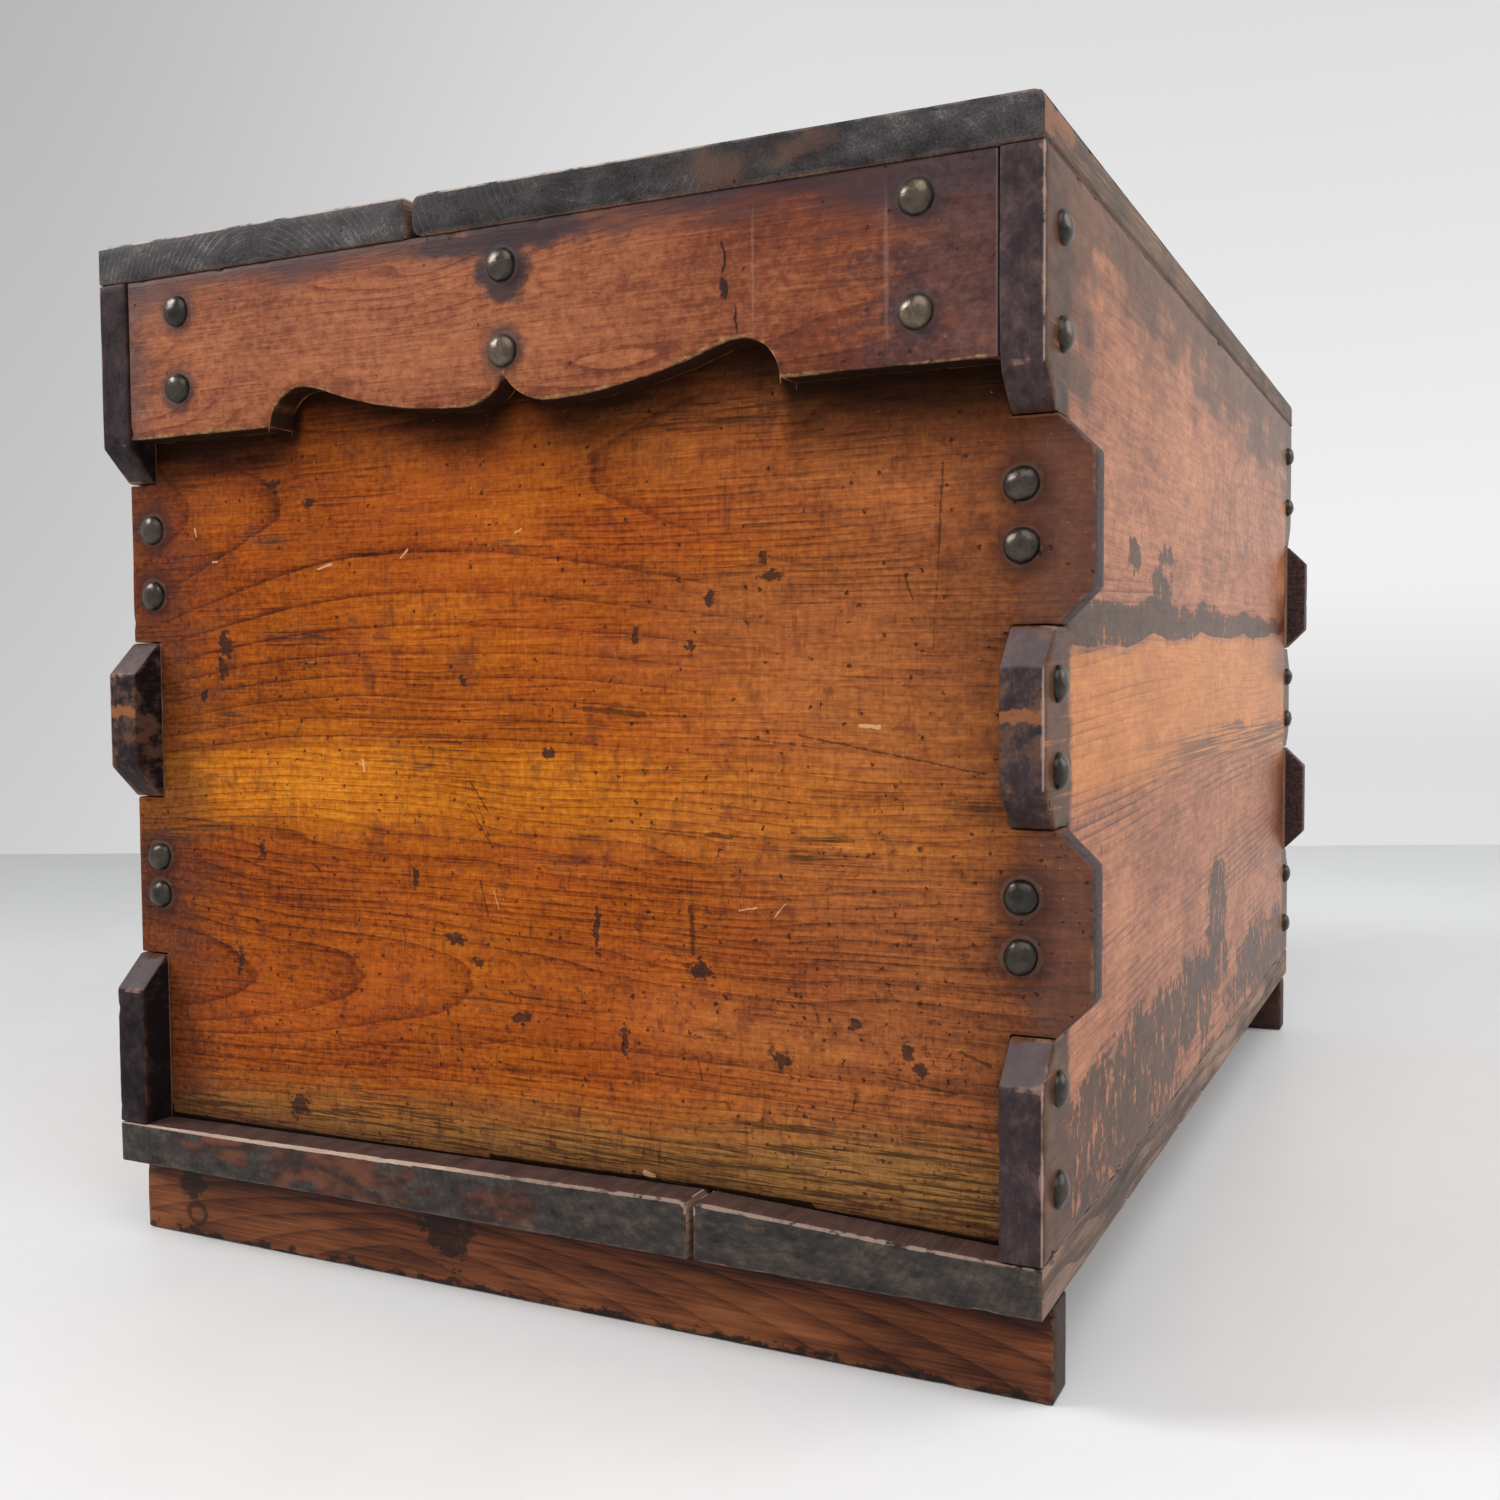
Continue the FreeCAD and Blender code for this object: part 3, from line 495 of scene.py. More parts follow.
# ---------------------------------------------------------------- side boards
# The front and rear walls are single wide planks whose ends cross the end panels in square fingers with cut
# corners.  Their brown lacquer is rubbed through to tan wood, and the end grain of the fingers is near black.

ROOT = 414.5 * MM
FINGER_REACH = 20.3 * MM
FINGER_CORNER = 19.4 * MM
FINGERS = [(0.0722, 0.1736), (0.2708, 0.365), (0.4615, 0.5775)]
PANEL_FACE = TIP - FINGER_REACH


def side_board(name):
    """Plank between the finger roots, with the fingers drawn out of its ends and their corners cut off."""
    low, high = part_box(name)
    low.x, high.x = -ROOT, ROOT
    plank = stock(name, low, high)
    bpy.ops.object.mode_set(mode="EDIT")
    inner = [level for finger in FINGERS for level in finger if low.z + MM < level < high.z - MM]
    for level in inner:
        saw(2, level)
    for end in (-1, 1):
        for bottom, top in FINGERS:
            pick("FACE", lambda middle: near(middle.x, end * ROOT) and bottom < middle.z < top)
            draw_out(end * (TIP - ROOT - FINGER_CORNER), 0, 0)
            draw_out(end * FINGER_CORNER, 0, 0)
            for level, way in ((bottom, 1), (top, -1)):
                if level in inner:
                    pick("EDGE", lambda middle: near(middle.x, end * TIP) and near(middle.z, level))
                    shift(0, 0, way * FINGER_CORNER)
    bpy.ops.object.mode_set(mode="OBJECT")
    age(plank, arris=1.5, rub=0.5, chip=1.6, grid=5)
    return plank


RAW_WOOD = ((0.5, 0.32, 0.2), (0.26, 0.15, 0.09))


def layers(spot, seed, **clouds):
    """Places on a piece and the random layers that its marks share, each from -0.5 to 0.5."""
    x, y, z = axes(spot)
    made = SimpleNamespace(spot=spot, seed=seed, x=x, y=y, z=z)
    for name, (size, detail, rough, shift) in clouds.items():
        setattr(made, name, cloud(spot, size, detail, rough, seed + shift) - 0.5)
    return made


def side_rings(board, knot):
    """Late wood bent round a knot, given by its place along the board and height, and clearest beside it."""
    along, height = knot
    beside = nearest(board.spot, [((along, board.face, height), (0.12, 0.06, 0.05))])
    depth = 0.04 + board.out * (board.y - board.face) * 0.9
    level = board.z - height + 0.03 * board.sway - 0.03 * board.x
    figure = (depth ** 2.0 + level ** 2.0) ** 0.5 + 0.04 * ease(beside, 1.5, 0.0)
    patches = ease(cloud(board.spot, (300, 200, 30), 2, 0.5, board.seed + 2), 0.45, 0.65)
    clear = 0.15 + 0.5 * ease(beside, 1.8, 0.6) + 1.3 * ease(board.z, 0.42, 0.37) * patches
    return growth(figure, 5.5, 0.5 * board.sway, 4.0) * clear


def side_wood(board, rings, low, level):
    """Bare tan wood, gold between two heights, and how far a spot lies in the gold."""
    tone = 0.56 + 0.5 * board.fibre + 0.7 * board.mottle - 0.28 * rings
    tone = tone + 0.6 * board.broad - 0.25 * board.nicks
    bare = ramp(tone, (0.1, (0.07, 0.027, 0.016)), (0.42, (0.29, 0.098, 0.044)),
                (0.62, (0.48, 0.18, 0.082)), (0.9, (0.7, 0.31, 0.15)))
    gold = ease(board.z, level, level - 0.004)
    gold = gold * ease(board.z + 0.02 * board.sway, low - 0.012, low + 0.01)
    bare = blend(0.6 * gold, bare, blend(tone, (0.44, 0.13, 0.028), (0.94, 0.36, 0.07)))
    return bare, gold


def side_film(board, gold, low, level, blots):
    """How much lacquer is left: flaked away from most of the face, kept above the gold and on the blots."""
    spot, seed, x, z = board.spot, board.seed, board.x, board.z
    torn = cloud(spot, (45, 100, 30), 8, 0.66, seed + 7) - 0.5
    streaked = cloud(spot, (160, 100, 6), 4, 0.6, seed + 9) - 0.5
    kept = 0.16 * ease(z, 0.22, 0.15) + 0.1 * ease(z, 0.1, 0.07)
    kept -= 0.8 * gold * ease(z, low + 0.008, low + 0.018)
    over_gold = ease(z + 0.015 * x + 0.02 * torn, level + 0.03, level + 0.008)
    kept += 0.55 * ease(z, level, level + 0.002) * over_gold
    kept += 0.36 * ease(z + 0.05 * x, 0.48, 0.56)
    kept += 0.25 * ease(z, 0.553, 0.574)
    kept += 0.06 * ease(z, level, level + 0.01)
    kept += 0.3 * ease(x, -0.34, -0.4) * ease(z, 0.4, 0.45)
    places = [((along, board.face, height), (wide, 0.06, tall)) for along, height, wide, tall in blots]
    blot = nearest(crumbled(spot, 14, 12), places)
    kept += 0.36 * ease(blot, 1.5, 0.5)
    flaked = ease(cloud(spot, (9, 100, 15), 6, 0.72, seed + 3), 0.49, 0.62) * ease(z, 0.4, 0.36)
    left = kept + torn + 0.55 * streaked + 0.35 * board.mottle - 0.36 * flaked
    soft = 0.05 + 0.1 * ease(z, 0.42, 0.48)
    ends = ease(board.from_middle + 0.04 * torn, 0.402, 0.414)
    left = ease(left, 0.29 - soft, 0.29 + soft).math("MAXIMUM", ends * ease(streaked, 0.22, 0.08))
    return left, (0.95 - 0.15 * ease(z, 0.42, 0.5) * (1 - ends)) * left


def side_stains(board, wood, film, low):
    """Lines of lacquer below the gold, a painted dark red reflection of the far tabs on the front board, and
    pits.
    """
    spot, seed, x, z = board.spot, board.seed, board.x, board.z
    lines = ease(cloud(spot, (250, 100, 2.2), 3, 0.6, seed + 19), 0.46, 0.56)
    sill = z - low + 0.03 * board.sway + 0.025 * board.broad
    lines = lines * ease(sill, 0.022, 0.015) * ease(sill, -0.012, 0.003)
    wood = blend(0.75 * lines * ease(x, -0.4, 0.05), wood, film)
    # Painted reflection of the right end panel's tabs: dark red patches on the front board at the tabs'
    # heights near its right end.
    by_tabs = ease(z, 0.325, 0.345) * ease(z, 0.42, 0.4) + ease(z, 0.16, 0.18) * ease(z, 0.27, 0.25)
    stain = 0.7 * (ease(x, 0.24, 0.4) * by_tabs) * (board.out < 0)
    wood = blend(stain.math("MINIMUM", 0.7), wood, (0.1, 0.022, 0.014))
    pits = ease(cloud(spot, (5, 3, 3), 3, 0.6, seed + 12), 0.7, 0.76)
    return blend(0.7 * pits, wood, (0.03, 0.014, 0.01)), pits


def side_ends(board, beside):
    """Near-black end grain of the fingers, browner on the middle one and lighter on the top one."""
    middle = ease(board.z, 0.25, 0.27) * ease(board.z, 0.38, 0.36)
    tone = 0.44 + 0.7 * board.grime + 0.6 * board.mottle + 0.1 * board.nicks + 0.06 * middle
    # The beside term is painted shade, darker still on the fingers' inner faces next to the panel.
    tone = tone + 0.06 * ease(board.z, 0.44, 0.47) - 0.1 * beside - 0.19 * (board.out > 0)
    wood = ramp(tone, (0.15, (0.012, 0.008, 0.009)), (0.45, (0.05, 0.034, 0.037)),
                (0.7, (0.125, 0.078, 0.07)))
    brown = 0.6 * ease(board.grime + 0.6 * board.mottle, -0.02, 0.12) * middle
    return blend(brown, wood, (0.15, 0.072, 0.04))


def side_scuffs(board, wood, end, rings):
    """Dust on the cut corners, bared chips on the middle finger, rubbed arrises, and a painted highlight on
    the tips.
    """
    spot, grime, depth = board.spot, board.grime, board.out * board.y
    wood = blend(0.4 * end * ease(toward(spot, 2), 0.3, 0.6), wood, (0.2, 0.155, 0.155))
    raw = ease(depth, board.inside + 1.5 * MM, board.inside + 0.5 * MM)
    raw = raw * ease(board.from_middle, PANEL_FACE, PANEL_FACE - MM)
    wood = blend(raw, wood, blend(0.5 + board.fibre + 0.5 * rings, *RAW_WOOD))
    chipped = nearest(crumbled(spot, 5, 5), [
        ((-TIP, board.face, 0.323), (0.02, 0.04, 3 * MM)),
        ((-TIP, board.face, 0.353), (0.006, 0.006, 4 * MM))])
    wood = blend(0.7 * end * ease(chipped + grime, 1.1, 0.7), wood, (0.36, 0.13, 0.05))
    rubbed = ease(edge_wear(spot) + 1.5 * grime, 1.02, 1.14)
    rubbed = rubbed * ease(board.z, board_bottom + 1.3 * MM, board_bottom + 5.8 * MM)
    rubbed = rubbed * ease(board.z, board_top - 1.0 * MM, board_top - 3.5 * MM)
    outside = ease(depth, board.inside + 2 * MM, board.inside + 4 * MM)
    wood = blend(0.5 * rubbed * outside, wood, (0.36, 0.2, 0.145))
    # Painted highlight: a thin near-white line along the outer arris of each finger's tip.
    arris = ease(edge_wear(spot) + 0.7 * grime, 0.88, 0.96)
    arris = arris * ease(board.from_middle, TIP - 1.3 * MM, TIP - 0.7 * MM)
    at_face = ease(depth, board.out * board.face - 1.6 * MM, board.out * board.face - 0.8 * MM)
    return blend(0.55 * arris * at_face, wood, (0.55, 0.42, 0.38)), raw


def side_finish(name, face, inside, seed, knot, gold_band, blots):
    """Lacquered plank, worn outside and raw inside: a band of it is gold and lacquer is left on the blots."""
    finish, spot = new_finish(name)
    board = layers(spot, seed, fibre=((60, 2, 1.5), 3, 0.6, 0), mottle=((14, 5, 6), 4, 0.68, 4),
                   sway=((500, 400, 120), 2, 0.5, 0), broad=((100, 200, 50), 5, 0.62, 0),
                   grime=((20, 20, 20), 5, 0.65, 0))
    board.face, board.inside = face, inside
    board.out = math.copysign(1.0, face)
    board.from_middle = board.x.math("ABSOLUTE")
    board.nicks = ease(cloud(spot, (5, 3, 8), 3, 0.62, seed + 15), 0.58, 0.72)
    low, top = gold_band
    level = top + 0.03 * (cloud(spot, (130, 300, 300), 2, 0.5, seed + 1) - 0.5) + 0.03 * board.x
    rings = side_rings(board, knot)
    bare, gold = side_wood(board, rings, low, level)
    left, cover = side_film(board, gold, low, level, blots)
    film = blend(0.5 + 1.8 * board.mottle + board.broad, (0.014, 0.007, 0.004), (0.13, 0.057, 0.027))
    wood, pits = side_stains(board, blend(cover, bare, film), film, low)
    end = ease(facing(spot, 0), 0.45, 0.75)
    # Painted shade: the fingers' inner faces beyond the end panel take the near-black end-grain colour.
    beside = ease(board.out * board.y, board.inside + MM, board.inside)
    beside = beside * ease(board.from_middle, PANEL_FACE - MM, PANEL_FACE)
    cut = end.math("MAXIMUM", beside)
    wood = blend(cut, wood, side_ends(board, beside))
    wood, raw = side_scuffs(board, wood, end, rings)
    rough = blend(raw.math("MAXIMUM", 0.5 * cut), (0.3, 0.3, 0.3), (0.7, 0.7, 0.7))
    relief = 0.00012 * board.fibre - 0.0001 * rings - 0.0008 * pits + 0.0005 * board.broad
    surface(wood, rough, relief + 0.0001 * left, 0.07)
    return finish


# Each blot: place along the board, height, half width and half height.
FRONT_BLOTS = [(-0.178, 0.403, 0.04, 0.015), (-0.265, 0.405, 0.018, 0.01), (0.03, 0.172, 0.05, 0.045),
               (-0.11, 0.122, 0.17, 0.03), (-0.27, 0.108, 0.17, 0.04), (0.27, 0.1, 0.16, 0.03)]
REAR_BLOTS = [(0.24, 0.33, 0.05, 0.02), (-0.15, 0.118, 0.2, 0.022), (0.31, 0.13, 0.11, 0.045)]
# Each board: Y of its outer face and distance of the inner one from the middle, seed, knot and gold band.
for name, face, inside, seed, knot, gold_band, blots in (
        ("front_board", -282.25 * MM, 260.75 * MM, 0.0, (0.13, 0.473), (0.282, 0.366), FRONT_BLOTS),
        ("rear_board", 293.75 * MM, 272.25 * MM, 31.0, (-0.22, 0.29), (0.395, 0.445), REAR_BLOTS)):
    board = side_board(name)
    finish = side_finish(f"{name}_wood", face, inside, seed, knot, gold_band, blots)
    fit(board, "chest", "side_board_wood", finish, name)

# ---------------------------------------------------------------- end panels
# Each end is one wide amber plank.  Two tabs a side fill the gaps between the fingers: those in front stand
# proud with cut corners and those behind lie flush.  Years of handling left pits, smears and a grey foot.

APRON_MIDDLE = 5.75 * MM
TABS = [(0.1738, 0.2706), (0.3652, 0.4613)]
TAB_CORNER = 17 * MM


def end_panel(name):
    """Plank between the side boards, with its tabs drawn out at front and rear and its foot crowned."""
    low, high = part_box(name)
    tab_tip, rear_face = low.y, high.y
    low.y, high.y = inner_front, inner_rear
    plank = stock(name, low, high)
    bpy.ops.object.mode_set(mode="EDIT")
    for tab in TABS:
        for level in tab:
            saw(2, level)
    for bottom, top in TABS:
        pick("FACE", lambda middle: near(middle.y, inner_rear) and bottom < middle.z < top)
        draw_out(0, rear_face - inner_rear, 0)
        pick("FACE", lambda middle: near(middle.y, inner_front) and bottom < middle.z < top)
        draw_out(0, tab_tip + TAB_CORNER - inner_front, 0)
        draw_out(0, -TAB_CORNER, 0)
        for level, way in ((bottom, 1), (top, -1)):
            pick("EDGE", lambda middle: near(middle.y, tab_tip) and near(middle.z, level))
            shift(0, 0, way * TAB_CORNER)
    seams = (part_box("front_bottom_plank")[1].y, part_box("rear_bottom_plank")[0].y)
    for seam in seams:
        saw(1, seam)
    pick("EDGE", lambda middle: near(middle.z, board_bottom) and seams[0] - MM < middle.y < seams[1] + MM)
    shift(0, 0, CROWN)
    bpy.ops.object.mode_set(mode="OBJECT")
    age(plank, arris=1.2, rub=0.4, chip=1.2, grid=5)
    return plank


def nail_halo(point, node, side):
    """Distance in metres from the middle of the nearest of a node's domed nails, across an end."""
    return nearest(point, [(seat, (10.0, 1.0, 1.0)) for seat in nail_seats(node, side, 0)])


def scratched(spot, lines):
    """Distance in metres to the nearest of some straight lines across an end, less its half width.

    Each line is Y and Z of its start, Y and Z of its end and its half width, in millimetres."""
    found = None
    for start_y, start_z, end_y, end_z, half_width in lines:
        start, end = Vector((0, start_y, start_z)) * MM, Vector((0, end_y, end_z)) * MM
        along = spot.vector("SUBTRACT", start)
        share = along.vector("DOT_PRODUCT", (end - start) / (end - start).length_squared)
        reach = spot.node("VectorMath", {"operation": "SCALE"}, end - start,
                          Scale=share.node("Clamp", {}, share))
        aside = along.vector("SUBTRACT", reach).vector("MULTIPLY", (0, 1, 1))
        distance = aside.vector("LENGTH") - half_width * MM
        found = distance if found is None else found.math("MINIMUM", distance)
    return found


def panel_rings(panel):
    """Late wood of an upper and a lower figure, where the upper one is, and the height of their joint."""
    spot, y, z, sway, fine = panel.spot, panel.y, panel.z, panel.sway, panel.fine
    inward = (panel.side * panel.x - PANEL_FACE) * -0.9
    left, right = (y - 0.09).math("MAXIMUM", 0.0), (0.09 - y).math("MAXIMUM", 0.0)
    upper_depth = 0.15 - 0.4 * left ** 2.0 - 0.2 * right ** 2.0 - inward
    upper = (upper_depth ** 2.0 + (z - 0.447 + 0.02 * sway) ** 2.0) ** 0.5
    lower_depth = 0.067 - 0.067 * (y - 0.02).math("MAXIMUM", 0.0) - inward
    lower = (lower_depth ** 2.0 + (z - 0.166 + 0.05 * sway) ** 2.0) ** 0.5
    joint = 0.304 - 0.16 * (y - 0.05) ** 2.0 + 0.002 * fine
    high = ease(z, joint, joint + 1.5 * MM)
    upper_rings = growth(upper, 7, 0.8 * sway + 0.15 * fine, 9.0)
    lower_rings = growth(lower, 5, 0.9 * sway + 0.2 * fine, 5.0)
    clear = 0.5 + cloud(spot, (200, 160, 30), 2, 0.5, panel.seed + 2)
    rings = (high * upper_rings + 0.8 * (1 - high) * lower_rings) * clear
    rings = rings * (1 - 0.55 * high * ease(y, -0.06, -0.13))
    close = growth(z + 0.02 * sway, 3.6, 0.6 * fine, 2.5)
    rings = rings.math("MAXIMUM", 0.7 * close * ease(fine + 1.2 * sway, 0.0, 0.12))
    return rings, high, joint


def panel_wood(panel, rings, high, joint):
    """Amber wood, redder in patches, tan in front and gold in a band below the joint; and its even tone."""
    spot, seed, y, z, sway = panel.spot, panel.seed, panel.y, panel.z, panel.sway
    weave = cloud(spot, (2, 1.4, 22), 2, 0.6, seed + 7) - 0.5
    streak = cloud(spot, (5, 110, 5), 4, 0.62, seed + 4) - 0.5
    threads = ease(cloud(spot, (2, 70, 1.1), 3, 0.6, seed + 21), 0.58, 0.7)
    rear_shade = 0.06 + 0.09 * ease(z, 0.43, 0.36) * ease(z, 0.15, 0.21)
    shade = rear_shade * ease(y, 0.05, 0.24)
    shade += 0.05 * ease(y + 0.3 * sway, -0.02, -0.18) * ease(z, 0.3, 0.42)
    shade += 0.06 * ease(y, -0.05, -0.2) * ease(z, 0.27, 0.21)
    tone = 0.56 + 0.45 * panel.fibre + 0.22 * weave + 0.6 * panel.mottle + 0.36 * streak
    tone = tone + 0.55 * panel.broad - 0.38 * rings - 0.15 * threads - shade
    wood = ramp(tone, (0.05, (0.036, 0.01, 0.004)), (0.28, (0.17, 0.033, 0.005)),
                (0.5, (0.35, 0.078, 0.007)), (0.72, (0.52, 0.14, 0.013)), (0.95, (0.7, 0.25, 0.035)))
    red = ease(cloud(spot, (200, 100, 45), 4, 0.6, seed + 26), 0.42, 0.66)
    wood = blend(0.35 * red, wood, blend(tone, (0.05, 0.007, 0.004), (0.66, 0.115, 0.025)))
    tan = ease(y + 0.3 * sway, 0.0, -0.2)
    wood = blend(0.4 * tan, wood, blend(tone, (0.08, 0.03, 0.014), (0.66, 0.29, 0.12)))
    band = (1 - high) * ease(z, joint - 0.06, joint - 0.026) + 0.3 * high * ease(z, joint + 0.06, joint)
    band = band * ease(y, -0.25, 0.2).math("MULTIPLY_ADD", 0.75, 0.25)
    even = tone + shade
    golden = ramp(even, (0.15, (0.17, 0.045, 0.006)), (0.5, (0.54, 0.155, 0.009)),
                  (0.8, (0.8, 0.31, 0.025)))
    return blend(band, wood, golden), even


def panel_weather(panel, wood, even):
    """Grey-green weathering at the foot with dark lines in it, and smudges, tracks and spots all over."""
    spot, seed, z, grime = panel.spot, panel.seed, panel.z, panel.grime
    weathered = ease(z + 0.03 * grime + 0.05 * panel.y, 0.125, 0.085)
    wood = blend(0.7 * weathered, wood, blend(even, (0.1, 0.052, 0.018), (0.5, 0.27, 0.08)))
    lines = ease(cloud(spot, (100, 42, 1.7), 3, 0.62, seed + 9), 0.5, 0.6)
    some = cloud(spot, (300, 90, 20), 2, 0.5, seed + 10) + 0.3 * weathered
    lines = lines * ease(some, 0.62, 0.72)
    wood = blend(0.8 * lines, wood, (0.045, 0.026, 0.011))
    smudge = cloud(spot, (50, 13, 17), 5, 0.66, seed + 14) + 0.3 * panel.broad
    wood = blend(0.45 * ease(smudge, 0.52, 0.7), wood, (0.08, 0.02, 0.017))
    tracks = cloud(spot, (50, 4, 26), 4, 0.66, seed + 6) + 0.3 * grime
    wood = blend(0.45 * ease(tracks, 0.58, 0.74), wood, (0.05, 0.015, 0.009))
    spots = cloud(spot, (6, 5, 4), 3, 0.62, seed + 17) + 0.08 * ease(z, 0.38, 0.15)
    wood = blend(0.6 * ease(spots, 0.68, 0.76), wood, (0.075, 0.019, 0.013))
    return wood, weathered, lines


def panel_dirt_and_shade(panel, wood):
    """Painted shade along the edges, a painted shadow under the apron's waves, and rusty halos round the
    nails.
    """
    y, z, grime = panel.y, panel.z, panel.grime
    # Painted shade in the corners where the panel meets the fingers, the apron and the bottom, mottled.
    edge = ease(y + 0.1 * grime, 0.215, 0.268)
    edge = edge.math("MAXIMUM", ease(y + 0.12 * grime - 0.1 * z, -0.225, -0.305))
    edge = edge.math("MAXIMUM", 0.25 * ease(z + 0.06 * grime, 0.42, 0.49))
    edge = edge.math("MAXIMUM", ease(z, 0.092, 0.074))
    dirt = blend(0.5 + 2.0 * panel.mottle + grime, (0.035, 0.013, 0.009), (0.12, 0.042, 0.026))
    wood = blend(0.6 * edge, wood, dirt)
    wood = blend(0.5 * ease(y + 0.06 * grime, -0.258, -0.28), wood, (0.11, 0.062, 0.055))
    off = (y - APRON_MIDDLE).math("ABSOLUTE")
    waves = 0.4847 + 0.021 * ease(off, 0.158, 0.148) * ease(off, 0.03, 0.13)
    waves += 0.015 * ease(off, 0.026, 0.0)
    under = z - waves + 0.03 * grime
    # Painted shadow of the apron: darker for about 50 mm below its waved edge, near black just under it.
    apron_shadow = (0.45 + 0.3 * ease(y, -0.1, -0.2)) * ease(under, -0.052, -0.012)
    wood = blend(apron_shadow, wood, (0.045, 0.012, 0.005))
    wood = blend(0.92 * ease(under, -0.026, -0.004), wood, (0.014, 0.005, 0.002))
    wood = blend(0.65 * ease(panel.halo + 16 * MM * grime, 22 * MM, 9 * MM), wood, (0.045, 0.02, 0.017))
    return blend(0.25 * ease(panel.halo + 8 * MM * grime, 10.8 * MM, 9.4 * MM), wood, (0.2, 0.14, 0.11))


def panel_marks(panel, wood, stains, scratches, chips):
    """Pits, most of them low down, pale flecks, and the single stains, scratches and chips."""
    spot, seed, mottle = panel.spot, panel.seed, panel.mottle
    share = 0.3 + 0.45 * ease(panel.z + 0.2 * panel.grime, 0.36, 0.22)
    pits = dents(crumbled(spot, 2, 2), 9, 1.2, share, seed)
    large = cloud(spot, (4, 3.2, 2.6), 2, 0.6, seed + 8) + 0.1 * (share - 0.6)
    pits = pits.math("MAXIMUM", ease(large, 0.71, 0.75))
    wood = blend(0.8 * pits, wood, (0.04, 0.014, 0.01))
    flecks = ease(cloud(spot, (4, 3, 1.8), 2, 0.6, seed + 20), 0.245, 0.225)
    wood = blend(0.5 * flecks, wood, (0.66, 0.38, 0.2))
    if stains:
        places = [((-PANEL_FACE, y * MM, z * MM), (0.02, wide * MM, tall * MM))
                  for y, z, wide, tall in stains]
        stain = nearest(crumbled(spot, 3.5, 5), places)
        wood = blend(0.8 * ease(stain + 2.2 * mottle, 1.0, 0.7), wood, (0.026, 0.015, 0.014))
        scratch = scratched(crumbled(spot, 0.8, 12), scratches) + 2.0 * MM * mottle
        wood = blend(0.65 * ease(scratch, 0.5 * MM, -0.1 * MM), wood, (0.034, 0.014, 0.008))
        chip = scratched(crumbled(spot, 1.2, 3), chips)
        wood = blend(0.75 * ease(chip, 0.4 * MM, 0.0), wood, (0.74, 0.42, 0.22))
    return wood, pits


def panel_edges(panel, wood, rings):
    """End grain, the inner side of the proud tabs, rubbed arrises, the dark foot and the raw inside."""
    spot, y, z, grime = panel.spot, panel.y, panel.z, panel.grime
    outward = panel.x * panel.side
    end = ease(facing(spot, 1), 0.7, 0.9)
    wood = blend(end, wood, blend(grime + 0.5, (0.05, 0.03, 0.026), (0.17, 0.1, 0.075)))
    proud = ease(y, -0.2825, -0.2845) * ease(outward, PANEL_FACE - 0.5 * MM, PANEL_FACE - 1.5 * MM)
    tab_side = blend(0.5 + 2.0 * panel.mottle + panel.fibre, (0.02, 0.013, 0.014), (0.098, 0.056, 0.058))
    wood = blend(proud, wood, tab_side)
    rubbed = ease(edge_wear(spot) + 1.2 * grime, 1.0, 1.12)
    wood = blend(0.4 * rubbed, wood, (0.34, 0.15, 0.075))
    at_foot = ease(z, board_bottom + 9.3 * MM, board_bottom + 7.3 * MM)
    foot_arris = ease(edge_wear(spot) + grime, 0.35, 0.7)
    wood = blend(0.95 * at_foot * foot_arris, wood, (0.008, 0.005, 0.004))
    inner = ease(outward, PANEL_FACE - 19.2 * MM, PANEL_FACE - 19.6 * MM) * ease(y, -0.2845, -0.2825)
    return blend(inner, wood, blend(0.5 * rings + panel.fibre + 0.5, *RAW_WOOD)), inner


def panel_finish(name, side, seed, stains=(), scratches=(), chips=()):
    """Amber plank with its grain across the chest; stains, scratches and chips are its single marks."""
    finish, spot = new_finish(f"{name}_wood")
    panel = layers(spot, seed, sway=((500, 280, 70), 2, 0.5, 0), fine=((500, 80, 10), 3, 0.6, 5),
                   fibre=((2, 24, 1.3), 2, 0.6, 0), mottle=((5, 4, 3), 3, 0.65, 0),
                   broad=((200, 100, 50), 5, 0.62, 1), grime=((30, 50, 12), 5, 0.65, 3))
    panel.side = side
    panel.halo = nail_halo(spot, f"{name}_nails", side)
    rings, high, joint = panel_rings(panel)
    wood, even = panel_wood(panel, rings, high, joint)
    wood, weathered, lines = panel_weather(panel, wood, even)
    wood = panel_dirt_and_shade(panel, wood)
    wood, pits = panel_marks(panel, wood, stains, scratches, chips)
    wood, inner = panel_edges(panel, wood, rings)
    rough = blend(weathered.math("MAXIMUM", pits), (0.4, 0.4, 0.4), (0.62, 0.62, 0.62))
    rough = blend(inner, rough, (0.7, 0.7, 0.7))
    relief = 0.0002 * panel.fibre - 0.00012 * rings - 0.0009 * pits - 0.0003 * lines + 0.0006 * panel.broad
    surface(wood, rough, relief, 0.05)
    return finish


# Each stain of the left panel: Y, Z, half width and half height in millimetres.
LEFT_STAINS = [
    (219, 363, 6, 9), (222, 350, 4, 8), (236, 333, 3, 5), (181, 456, 8, 2.5), (153, 444, 7, 2.5),
    (-135, 401, 3.5, 4.5), (-139, 392, 7, 3.5), (-105, 382, 3, 6), (-61, 364, 2, 6), (-94, 358, 4, 4),
    (48, 341, 3, 3), (-8, 302, 4, 3), (-183, 172, 4, 4), (-144, 150, 7, 4), (-210, 161, 4, 6),
    (-216, 152, 4, 4), (194, 241, 3, 6), (213, 174, 3, 9), (82, 232, 3, 7), (-36, 209, 3, 14),
    (-98, 192, 8, 6), (56, 198, 8, 4), (41, 186, 6, 3), (13, 157, 7, 3), (-53, 151, 3, 9), (169, 91, 8, 8)]
